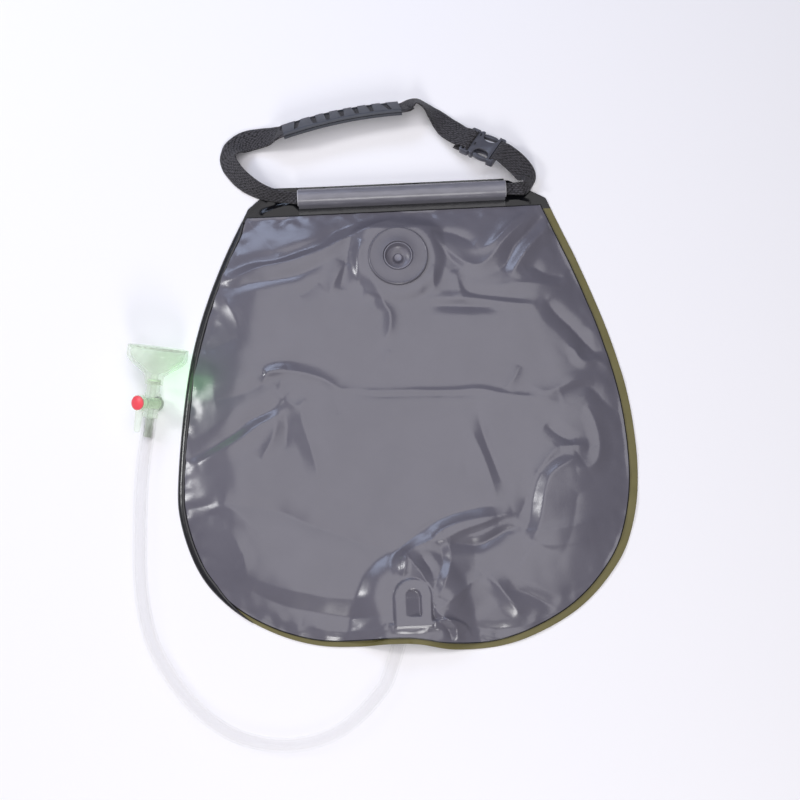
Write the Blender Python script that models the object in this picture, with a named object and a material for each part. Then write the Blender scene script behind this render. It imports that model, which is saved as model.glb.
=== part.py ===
"""Camp shower bag, laid flat and empty, with its strap, hose and rose.

X runs along the hanging rod, Y up the bag and Z up from the floor that it lies on.
The origin is on the floor, under the middle of the bag. All lengths are in metres.
"""

import math

import bmesh
import bpy
from mathutils import Matrix, Vector
from mathutils.geometry import delaunay_2d_cdt

# Clearance between pieces that touch
gap = 0.0003
# How far a cutter runs past what it cuts
overrun = 0.002
# Points nearer than this are one
merge_distance = 0.000001

# Bag: outer size, film and welded hem
bag_half_width = 0.227
bag_half_length = 0.2406
back_film = 0.0008
front_film = 0.0008
hem_width = 0.005
front_shift = -0.003
front_inset = 0.0311
crown = 0.0115
crown_run = 0.060
film_spacing = 0.027
film_slack = 0.0012

# Hanging rod and the sleeve welded round it
rod_outer_radius = 0.008
rod_wall = 0.0015
rod_length = 0.214
rod_offset = 0.007
rod_inset = 0.0150
rod_line = bag_half_length - rod_inset
sleeve_film = 0.0006
sleeve_inset = 0.0010
sleeve_below = 0.0156
sleeve_above = 0.0144

# Webbing and the loop that it makes above the bag
webbing_width = 0.025
webbing_thickness = 0.0016
folded_width = 0.0118
folded_thickness = 0.0034
loop_size = 0.100
webbing_lift = 0.0014

# Moulded grip folded round the webbing
grip_length_share = 0.5771
grip_length = rod_length * grip_length_share
grip_wall = 0.0022
grip_lip_gap = 0.0008
grip_slots = 7
grip_slot_pitch = 0.0146
grip_slot_width = 0.0055
grip_slot_length = 0.018

# Side-release buckle
buckle_half_width = 0.0165
buckle_half_thickness = 0.0042
female_mouth = -0.0137
female_end = 0.0145
pocket_half_width = 0.0142
pocket_half_height = 0.0026
pocket_depth = 0.0205
window_start = -0.0040
window_end = 0.0072
window_reach = 0.0088
male_start = -0.0242
male_half_thickness = 0.0034
ladder_slot = 0.0021
ladder_bar = 0.0024
tongue_half_width = 0.0036
tongue_end = 0.0040
arm_width = 0.0023
arm_half_height = 0.0022
arm_outer = 0.0138
arm_head_outer = 0.0158
arm_end = 0.0062

# Fill valve
valve_inset = 0.0846
valve_radius = 0.0305
valve_plate = 0.0020
valve_rim = 0.0007
valve_film_top = 0.0170
neck_inner_radius = 0.0150
neck_wall = 0.0020
neck_depth = 0.0125
stopper_wall = 0.0016
stopper_depth = 0.0115
stopper_seat = 0.0020
knob_radius = 0.0045
knob_height = 0.0050

# Hose
hose_radius = 0.0070
hose_floor = 0.0072
barb_radius = 0.0047
barb_root_radius = 0.0040
barb_pitch = 0.0065
barb_count = 3
barb_crest_share = 0.7
barb_step_share = 0.1

# Outlet at the back
outlet_x = -0.0024
outlet_inset = 0.0448
outlet_turn_deg = 23.8
outlet_plate_width = 0.035
outlet_plate_length = 0.045
outlet_plate = 0.0024
outlet_window_width = 0.0135
outlet_window_length = 0.024
outlet_window_depth = 0.0012
outlet_bore_radius = 0.0032
spout_bore_radius = 0.0029
elbow_radius = 0.0066
elbow_reach = 0.0120
plateau_radius = 0.030
plateau_run = 0.038
ridge_half_flat = 0.008
ridge_run = 0.026

# Shower head: how the head lies on the floor where the hose ends
head_z = 0.0116
head_heading_deg = 10.3
head_rise_deg = 16.4
spindle_lean_deg = 27.0

# Tap body
collar_radius = 0.0077
collar_length = 0.0045
body_radius = 0.0078
body_length = 0.0240
neck_radius = 0.0065
neck_end = 0.0360
pipe_bore_radius = 0.0030
spindle_at = 0.0143
housing_radius = 0.0080
housing_low = -0.0095
housing_high = 0.0140

# Tap rotor, its seals and its clip
rotor_radius = 0.0053
rotor_low = -0.0125
seal_groove_depth = 0.0012
seal_height = 0.0013
seal_place = 0.0066
clip_height = 0.0008
clip_outer_radius = 0.0072
clip_groove_depth = 0.0010
clip_mouth = 0.0050
stem_side = 0.0052
stem_height = 0.0055

# Handle, screw and cap
hub_radius = 0.0080
hub_height = 0.0078
hub_recess_radius = 0.0062
hub_recess = 0.0024
lever_length = 0.0290
lever_width = 0.0080
lever_thickness = 0.0030
screw_radius = 0.0013
screw_head_radius = 0.0026
screw_head_height = 0.0013
screw_length = 0.0080
cap_radius = 0.0070
cap_height = 0.0016
cap_spigot_wall = 0.0010

# Rose
rose_radius = 0.0300
rose_wall = 0.0018
rose_face = 0.0704
rose_rim_height = 0.0090
rose_socket_start = 0.0330
rose_socket_radius = 0.0090
rose_shoulder = 0.0382
rose_shoulder_end = 0.0430
rose_throat_radius = 0.0036
plate_thickness = 0.0020
plate_setback = 0.0008
plate_seat = 0.0016
jet_radius = 0.0010
jet_pitch = 0.0068
jet_rings = 3
seal_washer_radius = 0.0060

# Faces round a turned piece, by its size
fine_steps = 40
middle_steps = 28
small_steps = 20


# Scene, materials and shared shapes


def clear_scene():
    for old in list(bpy.data.objects):
        bpy.data.objects.remove(old)


def linear(value):
    if value <= 0.04045:
        return value / 12.92
    return ((value + 0.055) / 1.055) ** 2.4


def finish(name, hex_colour, roughness, metallic=0.0, transmission=0.0):
    made = bpy.data.materials.new(name)
    made.use_nodes = True
    shader = made.node_tree.nodes["Principled BSDF"]
    rgb = [linear(int(hex_colour[i : i + 2], 16) / 255) for i in (0, 2, 4)]
    shader.inputs["Base Color"].default_value = (*rgb, 1)
    shader.inputs["Roughness"].default_value = roughness
    shader.inputs["Metallic"].default_value = metallic
    shader.inputs["Transmission Weight"].default_value = transmission
    return made


def add(name, mesh, material=None, parent=None, place=None):
    """A named object on this mesh, placed by a matrix in its parent's frame."""
    made = bpy.data.objects.new(name, mesh)
    bpy.context.scene.collection.objects.link(made)
    made.parent = parent
    if place:
        made.matrix_basis = place
    if material:
        mesh.materials.append(material)
    return made


def frame_at(name, matrix, parent=None):
    made = bpy.data.objects.new(name, None)
    bpy.context.scene.collection.objects.link(made)
    made.parent = parent
    made.matrix_basis = matrix
    return made


def mesh_of(name, points, faces):
    form = bmesh.new()
    corners = [form.verts.new(point) for point in points]
    for face in faces:
        form.faces.new([corners[i] for i in face])
    bmesh.ops.recalc_face_normals(form, faces=form.faces)
    mesh = bpy.data.meshes.new(name)
    form.to_mesh(mesh)
    form.free()
    return mesh


def round_smooth(mesh, limit_deg=35):
    mesh.shade_smooth()
    mesh.set_sharp_from_angle(angle=math.radians(limit_deg))
    return mesh


def turned(name, profile, steps):
    """A closed profile of (radius, height) points spun about Z."""
    form = bmesh.new()
    corners = [form.verts.new((radius, 0, height)) for radius, height in profile]
    edges = [form.edges.new((a, b)) for a, b in zip(corners, corners[1:] + corners[:1])]
    bmesh.ops.spin(
        form,
        geom=corners + edges,
        axis=(0, 0, 1),
        cent=(0, 0, 0),
        steps=steps,
        angle=math.tau,
        use_merge=True,
    )
    bmesh.ops.remove_doubles(form, verts=form.verts, dist=merge_distance)
    bmesh.ops.dissolve_degenerate(form, edges=form.edges, dist=merge_distance)
    loose = [edge for edge in form.edges if not edge.link_faces]
    bmesh.ops.delete(form, geom=loose, context="EDGES")
    bmesh.ops.recalc_face_normals(form, faces=form.faces)
    mesh = bpy.data.meshes.new(name)
    form.to_mesh(mesh)
    form.free()
    return round_smooth(mesh)


def rod(name, radius, low, high, steps):
    return turned(name, [(0, low), (radius, low), (radius, high), (0, high)], steps)


def ring(name, inner, outer, low, high, steps):
    return turned(name, [(inner, low), (outer, low), (outer, high), (inner, high)], steps)


def prism(name, loop, low, high):
    """A flat outline of (x, y) points, extruded along Z."""
    form = bmesh.new()
    face = form.faces.new([form.verts.new((x, y, low)) for x, y in loop])
    grown = bmesh.ops.extrude_face_region(form, geom=[face])
    top = [item for item in grown["geom"] if isinstance(item, bmesh.types.BMVert)]
    bmesh.ops.translate(form, verts=top, vec=(0, 0, high - low))
    bmesh.ops.recalc_face_normals(form, faces=form.faces)
    mesh = bpy.data.meshes.new(name)
    form.to_mesh(mesh)
    form.free()
    return mesh


def block(name, low, high):
    (x0, y0, z0), (x1, y1, z1) = low, high
    return prism(name, [(x0, y0), (x1, y0), (x1, y1), (x0, y1)], z0, z1)


def boolean(target, tool, operation):
    tool.hide_render = True
    tool.display_type = "WIRE"
    step = target.modifiers.new(tool.name, "BOOLEAN")
    step.operation = operation
    step.object = tool


def cut(target, *tools):
    for tool in tools:
        boolean(target, tool, "DIFFERENCE")


def join(target, *tools):
    for tool in tools:
        boolean(target, tool, "UNION")


def smooth_through(points, steps):
    """Points on a Catmull-Rom curve through the given ones, ends included."""
    vectors = [Vector(point) for point in points]
    ends = [2 * vectors[0] - vectors[1]] + vectors + [2 * vectors[-1] - vectors[-2]]
    found = []
    for before, start, stop, after in zip(ends, ends[1:], ends[2:], ends[3:]):
        for i in range(steps):
            t = i / steps
            pull = (stop - before) * t + (2 * before - 5 * start + 4 * stop - after) * t**2
            pull += (3 * start - before - 3 * stop + after) * t**3
            found.append(start + pull / 2)
    found.append(vectors[-1])
    return found


def along(points, spacing):
    """The curve's points again, at an even spacing along it."""
    lengths = [0]
    for a, b in zip(points, points[1:]):
        lengths.append(lengths[-1] + (b - a).length)
    count = max(2, round(lengths[-1] / spacing))
    found = []
    k = 0
    for i in range(count + 1):
        want = lengths[-1] * i / count
        while k < len(points) - 2 and lengths[k + 1] < want:
            k += 1
        share = (want - lengths[k]) / (lengths[k + 1] - lengths[k])
        found.append(points[k].lerp(points[k + 1], share))
    return found


# Bag outline, from the left of the header round the bottom to its right

header_left_shares = ((-0.556, 1.000), (-0.667, 0.911))
header_right_shares = ((0.681, 0.902), (0.519, 0.989))
side_shares = (
    (-0.667, 0.911),
    (-0.790, 0.669),
    (-0.892, 0.409),
    (-0.957, 0.140),
    (-1.000, -0.230),
    (-0.994, -0.430),
    (-0.915, -0.645),
    (-0.779, -0.796),
    (-0.604, -0.899),
    (-0.413, -0.957),
    (-0.211, -0.970),
    (-0.010, -0.975),
    (0.150, -0.999),
    (0.352, -0.992),
    (0.526, -0.944),
    (0.704, -0.852),
    (0.846, -0.721),
    (0.941, -0.568),
    (0.995, -0.330),
    (0.985, -0.020),
    (0.924, 0.261),
    (0.834, 0.529),
    (0.745, 0.750),
    (0.681, 0.902),
)


def bag_point(shares):
    return Vector((shares[0] * bag_half_width, shares[1] * bag_half_length))


def back_loop():
    sides = smooth_through([bag_point(pair) for pair in side_shares], 3)
    return [bag_point(header_left_shares[0])] + sides + [bag_point(header_right_shares[1])]


def inset(loop, distance):
    """The loop with each point moved inwards, to the left of its direction."""
    found = []
    for before, here, after in zip(loop[-1:] + loop[:-1], loop, loop[1:] + loop[:1]):
        way = (here - before).normalized() + (after - here).normalized()
        found.append(here + Vector((-way.y, way.x)).normalized() * distance)
    return found


def below(loop, height):
    """The part of the loop under this height, closed by a straight edge."""
    found = []
    for a, b in zip(loop, loop[1:] + loop[:1]):
        if a.y <= height:
            found.append(a)
        if (a.y <= height) != (b.y <= height):
            found.append(a.lerp(b, (height - a.y) / (b.y - a.y)))
    return found


def divided(loop, longest):
    """The loop with points added on its longer edges."""
    found = []
    for a, b in zip(loop, loop[1:] + loop[:1]):
        count = math.ceil((b - a).length / longest)
        found += [a.lerp(b, i / count) for i in range(count)]
    return found


def front_loop():
    moved = [point + Vector((front_shift, 0)) for point in inset(back_loop(), hem_width)]
    return divided(below(moved, bag_half_length - front_inset), film_spacing)


def gap_to_segment(point, a, b):
    way = b - a
    share = max(0, min(1, (point - a).dot(way) / way.length_squared))
    return (point - a - way * share).length


def gap_to_loop(point, loop):
    return min(gap_to_segment(point, a, b) for a, b in zip(loop, loop[1:] + loop[:1]))


def inside(point, loop):
    crossings = 0
    for a, b in zip(loop, loop[1:] + loop[:1]):
        if (a.y > point.y) != (b.y > point.y):
            crossings += point.x < a.x + (point.y - a.y) * (b.x - a.x) / (b.y - a.y)
    return crossings % 2 == 1


# How high the two films lie

outlet_centre = Vector((outlet_x, outlet_inset - bag_half_length))
outlet_turn = math.radians(outlet_turn_deg)
outlet_way = Vector((-math.sin(outlet_turn), -math.cos(outlet_turn)))
valve_centre = Vector((0, bag_half_length - valve_inset))
hose_clear = hose_floor + hose_radius + 2 * gap


def slope(distance, flat, run):
    """1 within the flat part, falling evenly to 0 over the run beyond it."""
    return max(0, min(1, 1 - (distance - flat) / run))


def lift(point, spread=0):
    """1 over the outlet and the hose, falling to 0 beside them, later with a spread."""
    ridge_end = outlet_centre + outlet_way * bag_half_length / 2
    plateau = slope((point - outlet_centre).length, plateau_radius, plateau_run + spread)
    ridge = slope(gap_to_segment(point, outlet_centre, ridge_end), ridge_half_flat, ridge_run + spread)
    return max(plateau, ridge)


def back_underside(point):
    """The back film lies on the floor, and is lifted over the outlet and the hose."""
    return hose_clear * lift(point)


def front_underside(point, loop):
    """The front film rises from its weld, and lies over the outlet and under the valve."""
    edge = gap_to_loop(point, loop)
    seat = back_film + gap + (hose_clear + film_slack) * lift(point, film_spacing / 2)
    loose = seat + min(edge, crown_run) * crown / crown_run / 4
    crowned = back_film + gap + crown * math.sin(math.pi / 2 * min(1, edge / crown_run))
    valve = (valve_film_top - front_film) * slope(
        (point - valve_centre).length, valve_radius + hem_width, plateau_run
    )
    plate_reach = math.hypot(outlet_plate_width, outlet_plate_length) / 2 + hem_width
    near = slope((point - outlet_centre).length, plate_reach, ridge_run)
    return max(loose, crowned, valve, seat + (outlet_plate + gap) * near)


def film_points(loop, holes):
    """A grid inside the loop, finer round the outlet, with each hole's rim."""
    found = []
    columns = math.ceil(bag_half_width / film_spacing)
    rows = math.ceil(bag_half_length / film_spacing)
    for i in range(-columns, columns + 1):
        for j in range(-rows, rows + 1):
            shift = film_spacing / 2 * (j % 2)
            found.append(Vector((i * film_spacing + shift, j * film_spacing)))
    fine = film_spacing / 3
    edge = plateau_radius + plateau_run
    found = [point for point in found if (point - outlet_centre).length > edge]
    across = Vector((-outlet_way.y, outlet_way.x))
    reach = math.ceil(edge / fine)
    for i in range(-reach, reach + 1):
        for j in range(-reach, reach + 1):
            point = outlet_centre + across * i * fine + outlet_way * j * fine
            distance = (point - outlet_centre).length
            if distance < plateau_radius or (distance < edge and (i + j) % 2 == 0):
                found.append(point)
    margin = fine / 2
    kept = [point for point in found if inside(point, loop) and gap_to_loop(point, loop) > margin]
    for centre, radius in holes:
        kept = [point for point in kept if (point - centre).length > radius + margin]
    return kept


def film(name, loop, underside, thickness, holes, material):
    """A film of even thickness over the loop, with round holes."""
    points = [point.to_2d() for point in loop]
    edges = [(i, (i + 1) % len(loop)) for i in range(len(loop))]
    for centre, radius in holes:
        first = len(points)
        for i in range(middle_steps):
            angle = math.tau * i / middle_steps
            points.append(centre + Vector((math.cos(angle), math.sin(angle))) * radius)
            edges.append((first + i, first + (i + 1) % middle_steps))
    points += film_points(loop, holes)
    flat, _, faces, *_ = delaunay_2d_cdt(points, edges, [], 1, merge_distance)
    kept = []
    for face in faces:
        middle = sum((flat[i] for i in face), Vector((0, 0))) / len(face)
        if all((middle - centre).length > radius for centre, radius in holes):
            kept.append(tuple(face))
    heights = [underside(point) for point in flat]
    count = len(flat)
    solid = [(p.x, p.y, h) for p, h in zip(flat, heights)]
    solid += [(p.x, p.y, h + thickness) for p, h in zip(flat, heights)]
    faces = [face[::-1] for face in kept] + [tuple(i + count for i in face) for face in kept]
    sides = [pair for face in kept for pair in zip(face, face[1:] + face[:1])]
    rim = set(sides)
    faces += [(a, b, b + count, a + count) for a, b in sides if (b, a) not in rim]
    return add(name, round_smooth(mesh_of(name, solid, faces)), material)


def make_back_panel(material):
    stub_hole = (outlet_centre, elbow_radius + gap)
    return film("back_panel", back_loop(), back_underside, back_film, [stub_hole], material)


def make_front_panel(material):
    loop = front_loop()
    neck_hole = (valve_centre, neck_inner_radius + neck_wall + gap)

    def underside(point):
        return front_underside(point, loop)

    return film("front_panel", loop, underside, front_film, [neck_hole], material)


# Rod and sleeve

rod_height = back_film + gap + rod_outer_radius
rod_middle = Vector((rod_offset, rod_line, rod_height))
# An outline's x and y become y and z, and its length runs along x
length_along_x = Matrix(((0, 0, 1, 0), (1, 0, 0, 0), (0, 1, 0, 0), (0, 0, 0, 1)))


def make_rod(material):
    inner = rod_outer_radius - rod_wall
    mesh = ring("hanging_rod", inner, rod_outer_radius, -rod_length / 2, rod_length / 2, middle_steps)
    place = Matrix.Translation(rod_middle) @ Matrix.Rotation(math.pi / 2, 4, "Y")
    return add("hanging_rod", mesh, material, place=place)


def make_sleeve(material):
    """One strip of film, welded down on both sides of the rod and arched over it."""
    flat = back_film + gap
    inner = rod_outer_radius + gap
    steps = small_steps // 2
    lower = [(-sleeve_below, flat), (-inner, flat)]
    arch = []
    for i in range(steps + 1):
        angle = math.pi * (1 - i / steps)
        arch.append((inner * math.cos(angle), rod_height + inner * math.sin(angle)))
    upper = [(inner, flat), (sleeve_above, flat)]
    under = lower + arch + upper
    thick = inner + sleeve_film
    over = [(sleeve_above, flat + sleeve_film), (thick, flat + sleeve_film)]
    for i in range(steps + 1):
        angle = math.pi * i / steps
        over.append((thick * math.cos(angle), rod_height + thick * math.sin(angle)))
    over += [(-thick, flat + sleeve_film), (-sleeve_below, flat + sleeve_film)]
    half = rod_length / 2 - sleeve_inset
    mesh = prism("hem_sleeve", under + over, -half, half)
    place = Matrix.Translation((rod_offset, rod_line, 0)) @ length_along_x
    return add("hem_sleeve", round_smooth(mesh), material, place=place)


# Webbing, grip and buckle: places as shares of the loop's size, from the rod's ends

left_shares = (
    # along X, along Y, lean in degrees, share of the width, share of the fold
    (-0.110, 0.004, 12, 0.56, 1.0),
    (-0.240, 0.030, 38, 0.78, 0.5),
    (-0.386, 0.085, 50, 1.0, 0.0),
    (-0.510, 0.155, 46, 1.0, 0.0),
    (-0.605, 0.270, 44, 1.0, 0.0),
    (-0.675, 0.420, 52, 1.0, 0.0),
    (-0.660, 0.535, 46, 1.0, 0.0),
    (-0.577, 0.625, 24, 1.0, 0.0),
    (-0.460, 0.680, 14, 1.0, 0.0),
    (-0.310, 0.712, 26, 1.0, 0.0),
)
grip_start_shares = (-0.124, 0.732)
grip_heading_deg = 9.7
grip_lean_deg = 49.0
right_of_grip_shares = (
    # share of the way from grip to buckle, share to its left, lean in degrees
    (0.0913, 0.1139, 66),
    (0.1665, 0.1734, 76),
    (0.3000, 0.1650, 68),
    (0.4753, 0.1203, 52),
    (0.6861, 0.0667, 28),
)
buckle_shares = (-0.176, 0.424)
buckle_height = 0.0164
buckle_heading_deg = -31.0
buckle_pitch_deg = 9.0
buckle_roll_deg = -16.0
hook_shares = (
    # from the rod's right end: along X, along Y, height, lean, share of the width
    (0.075, 0.262, 0.205, 16, 1.0),
    (0.140, 0.200, 0.210, 20, 1.0),
    (0.192, 0.125, 0.200, 34, 0.95),
    (0.212, 0.055, 0.165, 58, 0.80),
    (0.165, 0.004, 0.125, 42, 0.65),
    (0.085, 0.000, 0.100, 14, 0.54),
)
rod_left = Vector((rod_offset - rod_length / 2, rod_line))
rod_right = Vector((rod_offset + rod_length / 2, rod_line))


def heading(angle_deg):
    angle = math.radians(angle_deg)
    return Vector((math.cos(angle), math.sin(angle)))


def grip_middle():
    start = rod_left + Vector(grip_start_shares) * loop_size
    middle = start + heading(grip_heading_deg) * grip_length / 2
    lean = math.radians(grip_lean_deg)
    half = grip_half_width()
    height = webbing_lift + half * math.sin(lean) + grip_half_height() * math.cos(lean)
    return Vector((middle.x, middle.y, height))


def grip_half_height():
    return webbing_thickness / 2 + gap + grip_wall


def grip_half_width():
    return webbing_width / 2 + gap + grip_wall


def leaning_frame(place, heading_deg, pitch_deg, roll_deg):
    turn = Matrix.Rotation(math.radians(heading_deg), 4, "Z")
    turn = turn @ Matrix.Rotation(math.radians(-pitch_deg), 4, "Y")
    turn = turn @ Matrix.Rotation(math.radians(roll_deg), 4, "X")
    return Matrix.Translation(place) @ turn


def grip_matrix():
    return leaning_frame(grip_middle(), grip_heading_deg, 0, -grip_lean_deg)


def buckle_matrix():
    middle = rod_right + Vector(buckle_shares) * loop_size
    place = (middle.x, middle.y, buckle_height)
    return leaning_frame(place, buckle_heading_deg, buckle_pitch_deg, buckle_roll_deg)


def band(name, stations, material, parent=None):
    """Webbing lofted through stations of (centre, width way, half width, half thickness)."""
    points = []
    count = len(stations)
    for i, (centre, wide, half, thick) in enumerate(stations):
        ahead = stations[min(i + 1, count - 1)][0] - stations[max(i - 1, 0)][0]
        wide = (wide - ahead * wide.dot(ahead) / ahead.length_squared).normalized()
        up = wide.cross(ahead).normalized() * thick
        wide = wide * half
        points += [centre - wide - up, centre + wide - up, centre + wide + up, centre - wide + up]
    faces = [(0, 1, 2, 3), tuple(4 * (count - 1) + k for k in (3, 2, 1, 0))]
    for i in range(count - 1):
        for k in range(4):
            a = 4 * i + k
            b = 4 * i + (k + 1) % 4
            faces.append((a, a + 4, b + 4, b))
    mesh = round_smooth(mesh_of(name, points, faces))
    if parent is None:
        return add(name, mesh, material)
    return add(name, mesh, material, parent, parent.matrix_basis.inverted())


def leaning(centres, leans):
    """The width's direction at each centre: to the right of the way ahead, and up by the lean."""
    found = []
    count = len(centres)
    for i, lean_deg in enumerate(leans):
        ahead = (centres[min(i + 1, count - 1)] - centres[max(i - 1, 0)]).to_2d().normalized()
        lean = math.radians(lean_deg)
        flat = math.cos(lean)
        found.append(Vector((ahead.y * flat, -ahead.x * flat, math.sin(lean))))
    return found


def resting_height(lean_deg, width_share):
    lean = math.radians(lean_deg)
    half = webbing_width / 2 * width_share
    return webbing_lift + half * math.sin(lean) + webbing_thickness / 2 * math.cos(lean)


def loop_centres(rows):
    """Centres from shares of the loop's size; a folded part rises to the rod's axis."""
    found = []
    for x, y, lean, width, fold in rows:
        flat = rod_left + Vector((x, y)) * loop_size
        lying = resting_height(lean, width)
        found.append(Vector((flat.x, flat.y, lying + (rod_height - lying) * fold)))
    return found


def grip_run():
    """Where the webbing enters and leaves the grip, along its straight."""
    matrix = grip_matrix()
    half = grip_length / 2
    return [matrix @ Vector((x, 0, 0)) for x in (-half, 0, half)]


def buckle_entry():
    """Where the webbing comes to the buckle's ladder."""
    return buckle_matrix() @ Vector((male_start - gap, 0, 0))


def bends_to_buckle():
    """The webbing's centres between the grip and the buckle."""
    start = grip_run()[-1].to_2d()
    way = buckle_entry().to_2d() - start
    found = []
    for share, aside, lean in right_of_grip_shares:
        flat = start + way * share + Vector((-way.y, way.x)) * aside
        found.append(Vector((flat.x, flat.y, resting_height(lean, 1))))
    return found


def make_left_webbing(material):
    """From the rod's left end, round and through the grip, to the buckle's ladder."""
    mouth = Vector((rod_left.x - gap, rod_line, rod_height))
    centres = [mouth] + loop_centres(left_shares) + grip_run() + bends_to_buckle()
    leans = [0] + [row[2] for row in left_shares]
    leans += [grip_lean_deg] * 3 + [row[2] for row in right_of_grip_shares]
    widths = [folded_width / webbing_width] + [row[3] for row in left_shares]
    widths += [1] * (3 + len(right_of_grip_shares))
    folds = [1] + [row[4] for row in left_shares] + [0] * (3 + len(right_of_grip_shares))
    wide = leaning(centres, leans)
    wide[0] = Vector((0, 1, 0))
    matrix = buckle_matrix()
    entry = buckle_entry()
    centres += [matrix @ Vector((male_start - webbing_width / 2, 0, 0)), entry]
    wide += [matrix.to_3x3() @ Vector((0, -1, 0))] * 2
    widths += [1, 1]
    folds += [0, 0]
    stations = []
    for centre, way, width, fold in zip(centres, wide, widths, folds):
        thick = webbing_thickness + (folded_thickness - webbing_thickness) * fold
        stations.append((centre, way, webbing_width / 2 * width, thick / 2))
    return band("strap_left", stations, material)


def make_right_webbing(material):
    """From the buckle's bar, up and over, back into the rod's right end."""
    matrix = buckle_matrix()
    starts = (female_end + gap, female_end + webbing_width / 3)
    centres = [matrix @ Vector((x, 0, 0)) for x in starts]
    for x, y, height, _, _ in hook_shares:
        flat = rod_right + Vector((x, y)) * loop_size
        centres.append(Vector((flat.x, flat.y, height * loop_size)))
    centres.append(Vector((rod_right.x + gap, rod_line, rod_height)))
    wide = leaning(centres, [0, 0] + [row[3] for row in hook_shares] + [0])
    wide[0] = wide[1] = matrix.to_3x3() @ Vector((0, -1, 0))
    wide[-1] = Vector((0, 1, 0))
    widths = [1, 1] + [row[4] for row in hook_shares] + [folded_width / webbing_width]
    last = len(centres) - 1
    stations = []
    for i, (centre, way, width) in enumerate(zip(centres, wide, widths)):
        thick = folded_thickness if i >= last - 1 else webbing_thickness
        stations.append((centre, way, webbing_width / 2 * width, thick / 2))
    return band("strap_right", stations, material)


def make_rod_webbing(material):
    """The webbing folded in half, where it runs through the rod."""
    half = rod_length / 2
    centres = [rod_middle + Vector((share * half, 0, 0)) for share in (-1, 0, 1)]
    wide = Vector((0, 1, 0))
    stations = [(centre, wide, folded_width / 2, folded_thickness / 2) for centre in centres]
    return band("strap_rod_run", stations, material)


def make_tail(material):
    """The free end of the webbing, under the buckle's ladder."""
    matrix = buckle_matrix()
    low = -male_half_thickness - gap - webbing_thickness / 2
    start = male_start - webbing_width / 3
    stop = male_start + ladder_bar + ladder_slot
    centres = [matrix @ Vector((x, 0, low)) for x in (start, stop)]
    wide = matrix.to_3x3() @ Vector((0, -1, 0))
    stations = [(centre, wide, webbing_width / 2, webbing_thickness / 2) for centre in centres]
    return band("strap_tail", stations, material)


def make_grip(material):
    """A flat moulding folded round the webbing, its lips along the upper edge."""
    frame = frame_at("grip_frame", grip_matrix())
    cavity_y = webbing_width / 2 + gap
    cavity_z = webbing_thickness / 2 + gap
    outer_y = cavity_y + grip_wall
    outer_z = cavity_z + grip_wall
    lip = grip_lip_gap / 2
    round_off = grip_wall * 0.7
    half_loop = [
        (-outer_y, lip),
        (-outer_y, outer_z - round_off),
        (-outer_y + round_off, outer_z),
        (outer_y - round_off, outer_z),
        (outer_y, outer_z - round_off),
    ]
    inner = [(cavity_y, cavity_z), (-cavity_y, cavity_z), (-cavity_y, lip)]
    outline = half_loop + [(y, -z) for y, z in half_loop[:0:-1]] + [(-outer_y, -lip)]
    outline += [(y, -z) for y, z in inner[::-1]] + inner
    mesh = prism("handle_grip", outline, -grip_length / 2, grip_length / 2)
    grip = add("handle_grip", mesh, material, frame, length_along_x)
    for i in range(grip_slots):
        x = (i - (grip_slots - 1) / 2) * grip_slot_pitch
        near = outer_y + overrun
        far = outer_y - grip_slot_length
        half = grip_slot_width / 2
        vee = [(x - half, near), (x + half, near), (x + half / 3, far), (x - half / 3, far)]
        reach = outer_z + overrun
        tool = add(f"grip_slot_{i + 1}", prism("grip_slot", vee, -reach, reach), parent=frame)
        cut(grip, tool)
    return grip


def waist(side):
    """One of the buckle's side windows: a rounded bite out of the female half."""
    steps = small_steps // 2
    near = buckle_half_width + overrun
    middle = (window_start + window_end) / 2
    half = (window_end - window_start) / 2
    bite = [(window_end, side * near), (window_start, side * near)]
    for i in range(steps + 1):
        angle = math.pi * i / steps
        drop = (pocket_half_width - window_reach) * math.sin(angle)
        bite.append((middle - half * math.cos(angle), side * (pocket_half_width - drop)))
    return bite


def make_buckle_female(material, frame):
    """A flat box with a mouth, two side windows and a bar for the sewn webbing."""
    corner = buckle_half_thickness / 2
    mid = (window_start + window_end) / 2
    half = buckle_half_width
    nip = half - corner / 2
    outline = [
        (female_mouth, -nip),
        (window_start, -half),
        (mid, -nip),
        (window_end, -half),
        (female_end - corner, -half),
        (female_end, -half + corner),
    ]
    outline += [(x, -y) for x, y in outline[::-1]]
    mesh = prism("buckle_female", outline, -buckle_half_thickness, buckle_half_thickness)
    female = add("buckle_female", mesh, material, frame)
    high = buckle_half_thickness + overrun
    pocket_low = (female_mouth - overrun, -pocket_half_width, -pocket_half_height)
    pocket_high = (female_mouth + pocket_depth, pocket_half_width, pocket_half_height)
    cut(female, add("buckle_pocket", block("buckle_pocket", pocket_low, pocket_high), parent=frame))
    for side, name in ((1, "upper"), (-1, "lower")):
        cut(female, add(f"buckle_window_{name}", prism("window", waist(side), -high, high), parent=frame))
    slot_low = (female_end - 2 * ladder_bar, -pocket_half_width, -high)
    slot_high = (female_end - ladder_bar, pocket_half_width, high)
    cut(female, add("buckle_bar_slot", block("bar_slot", slot_low, slot_high), parent=frame))
    return female


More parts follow.
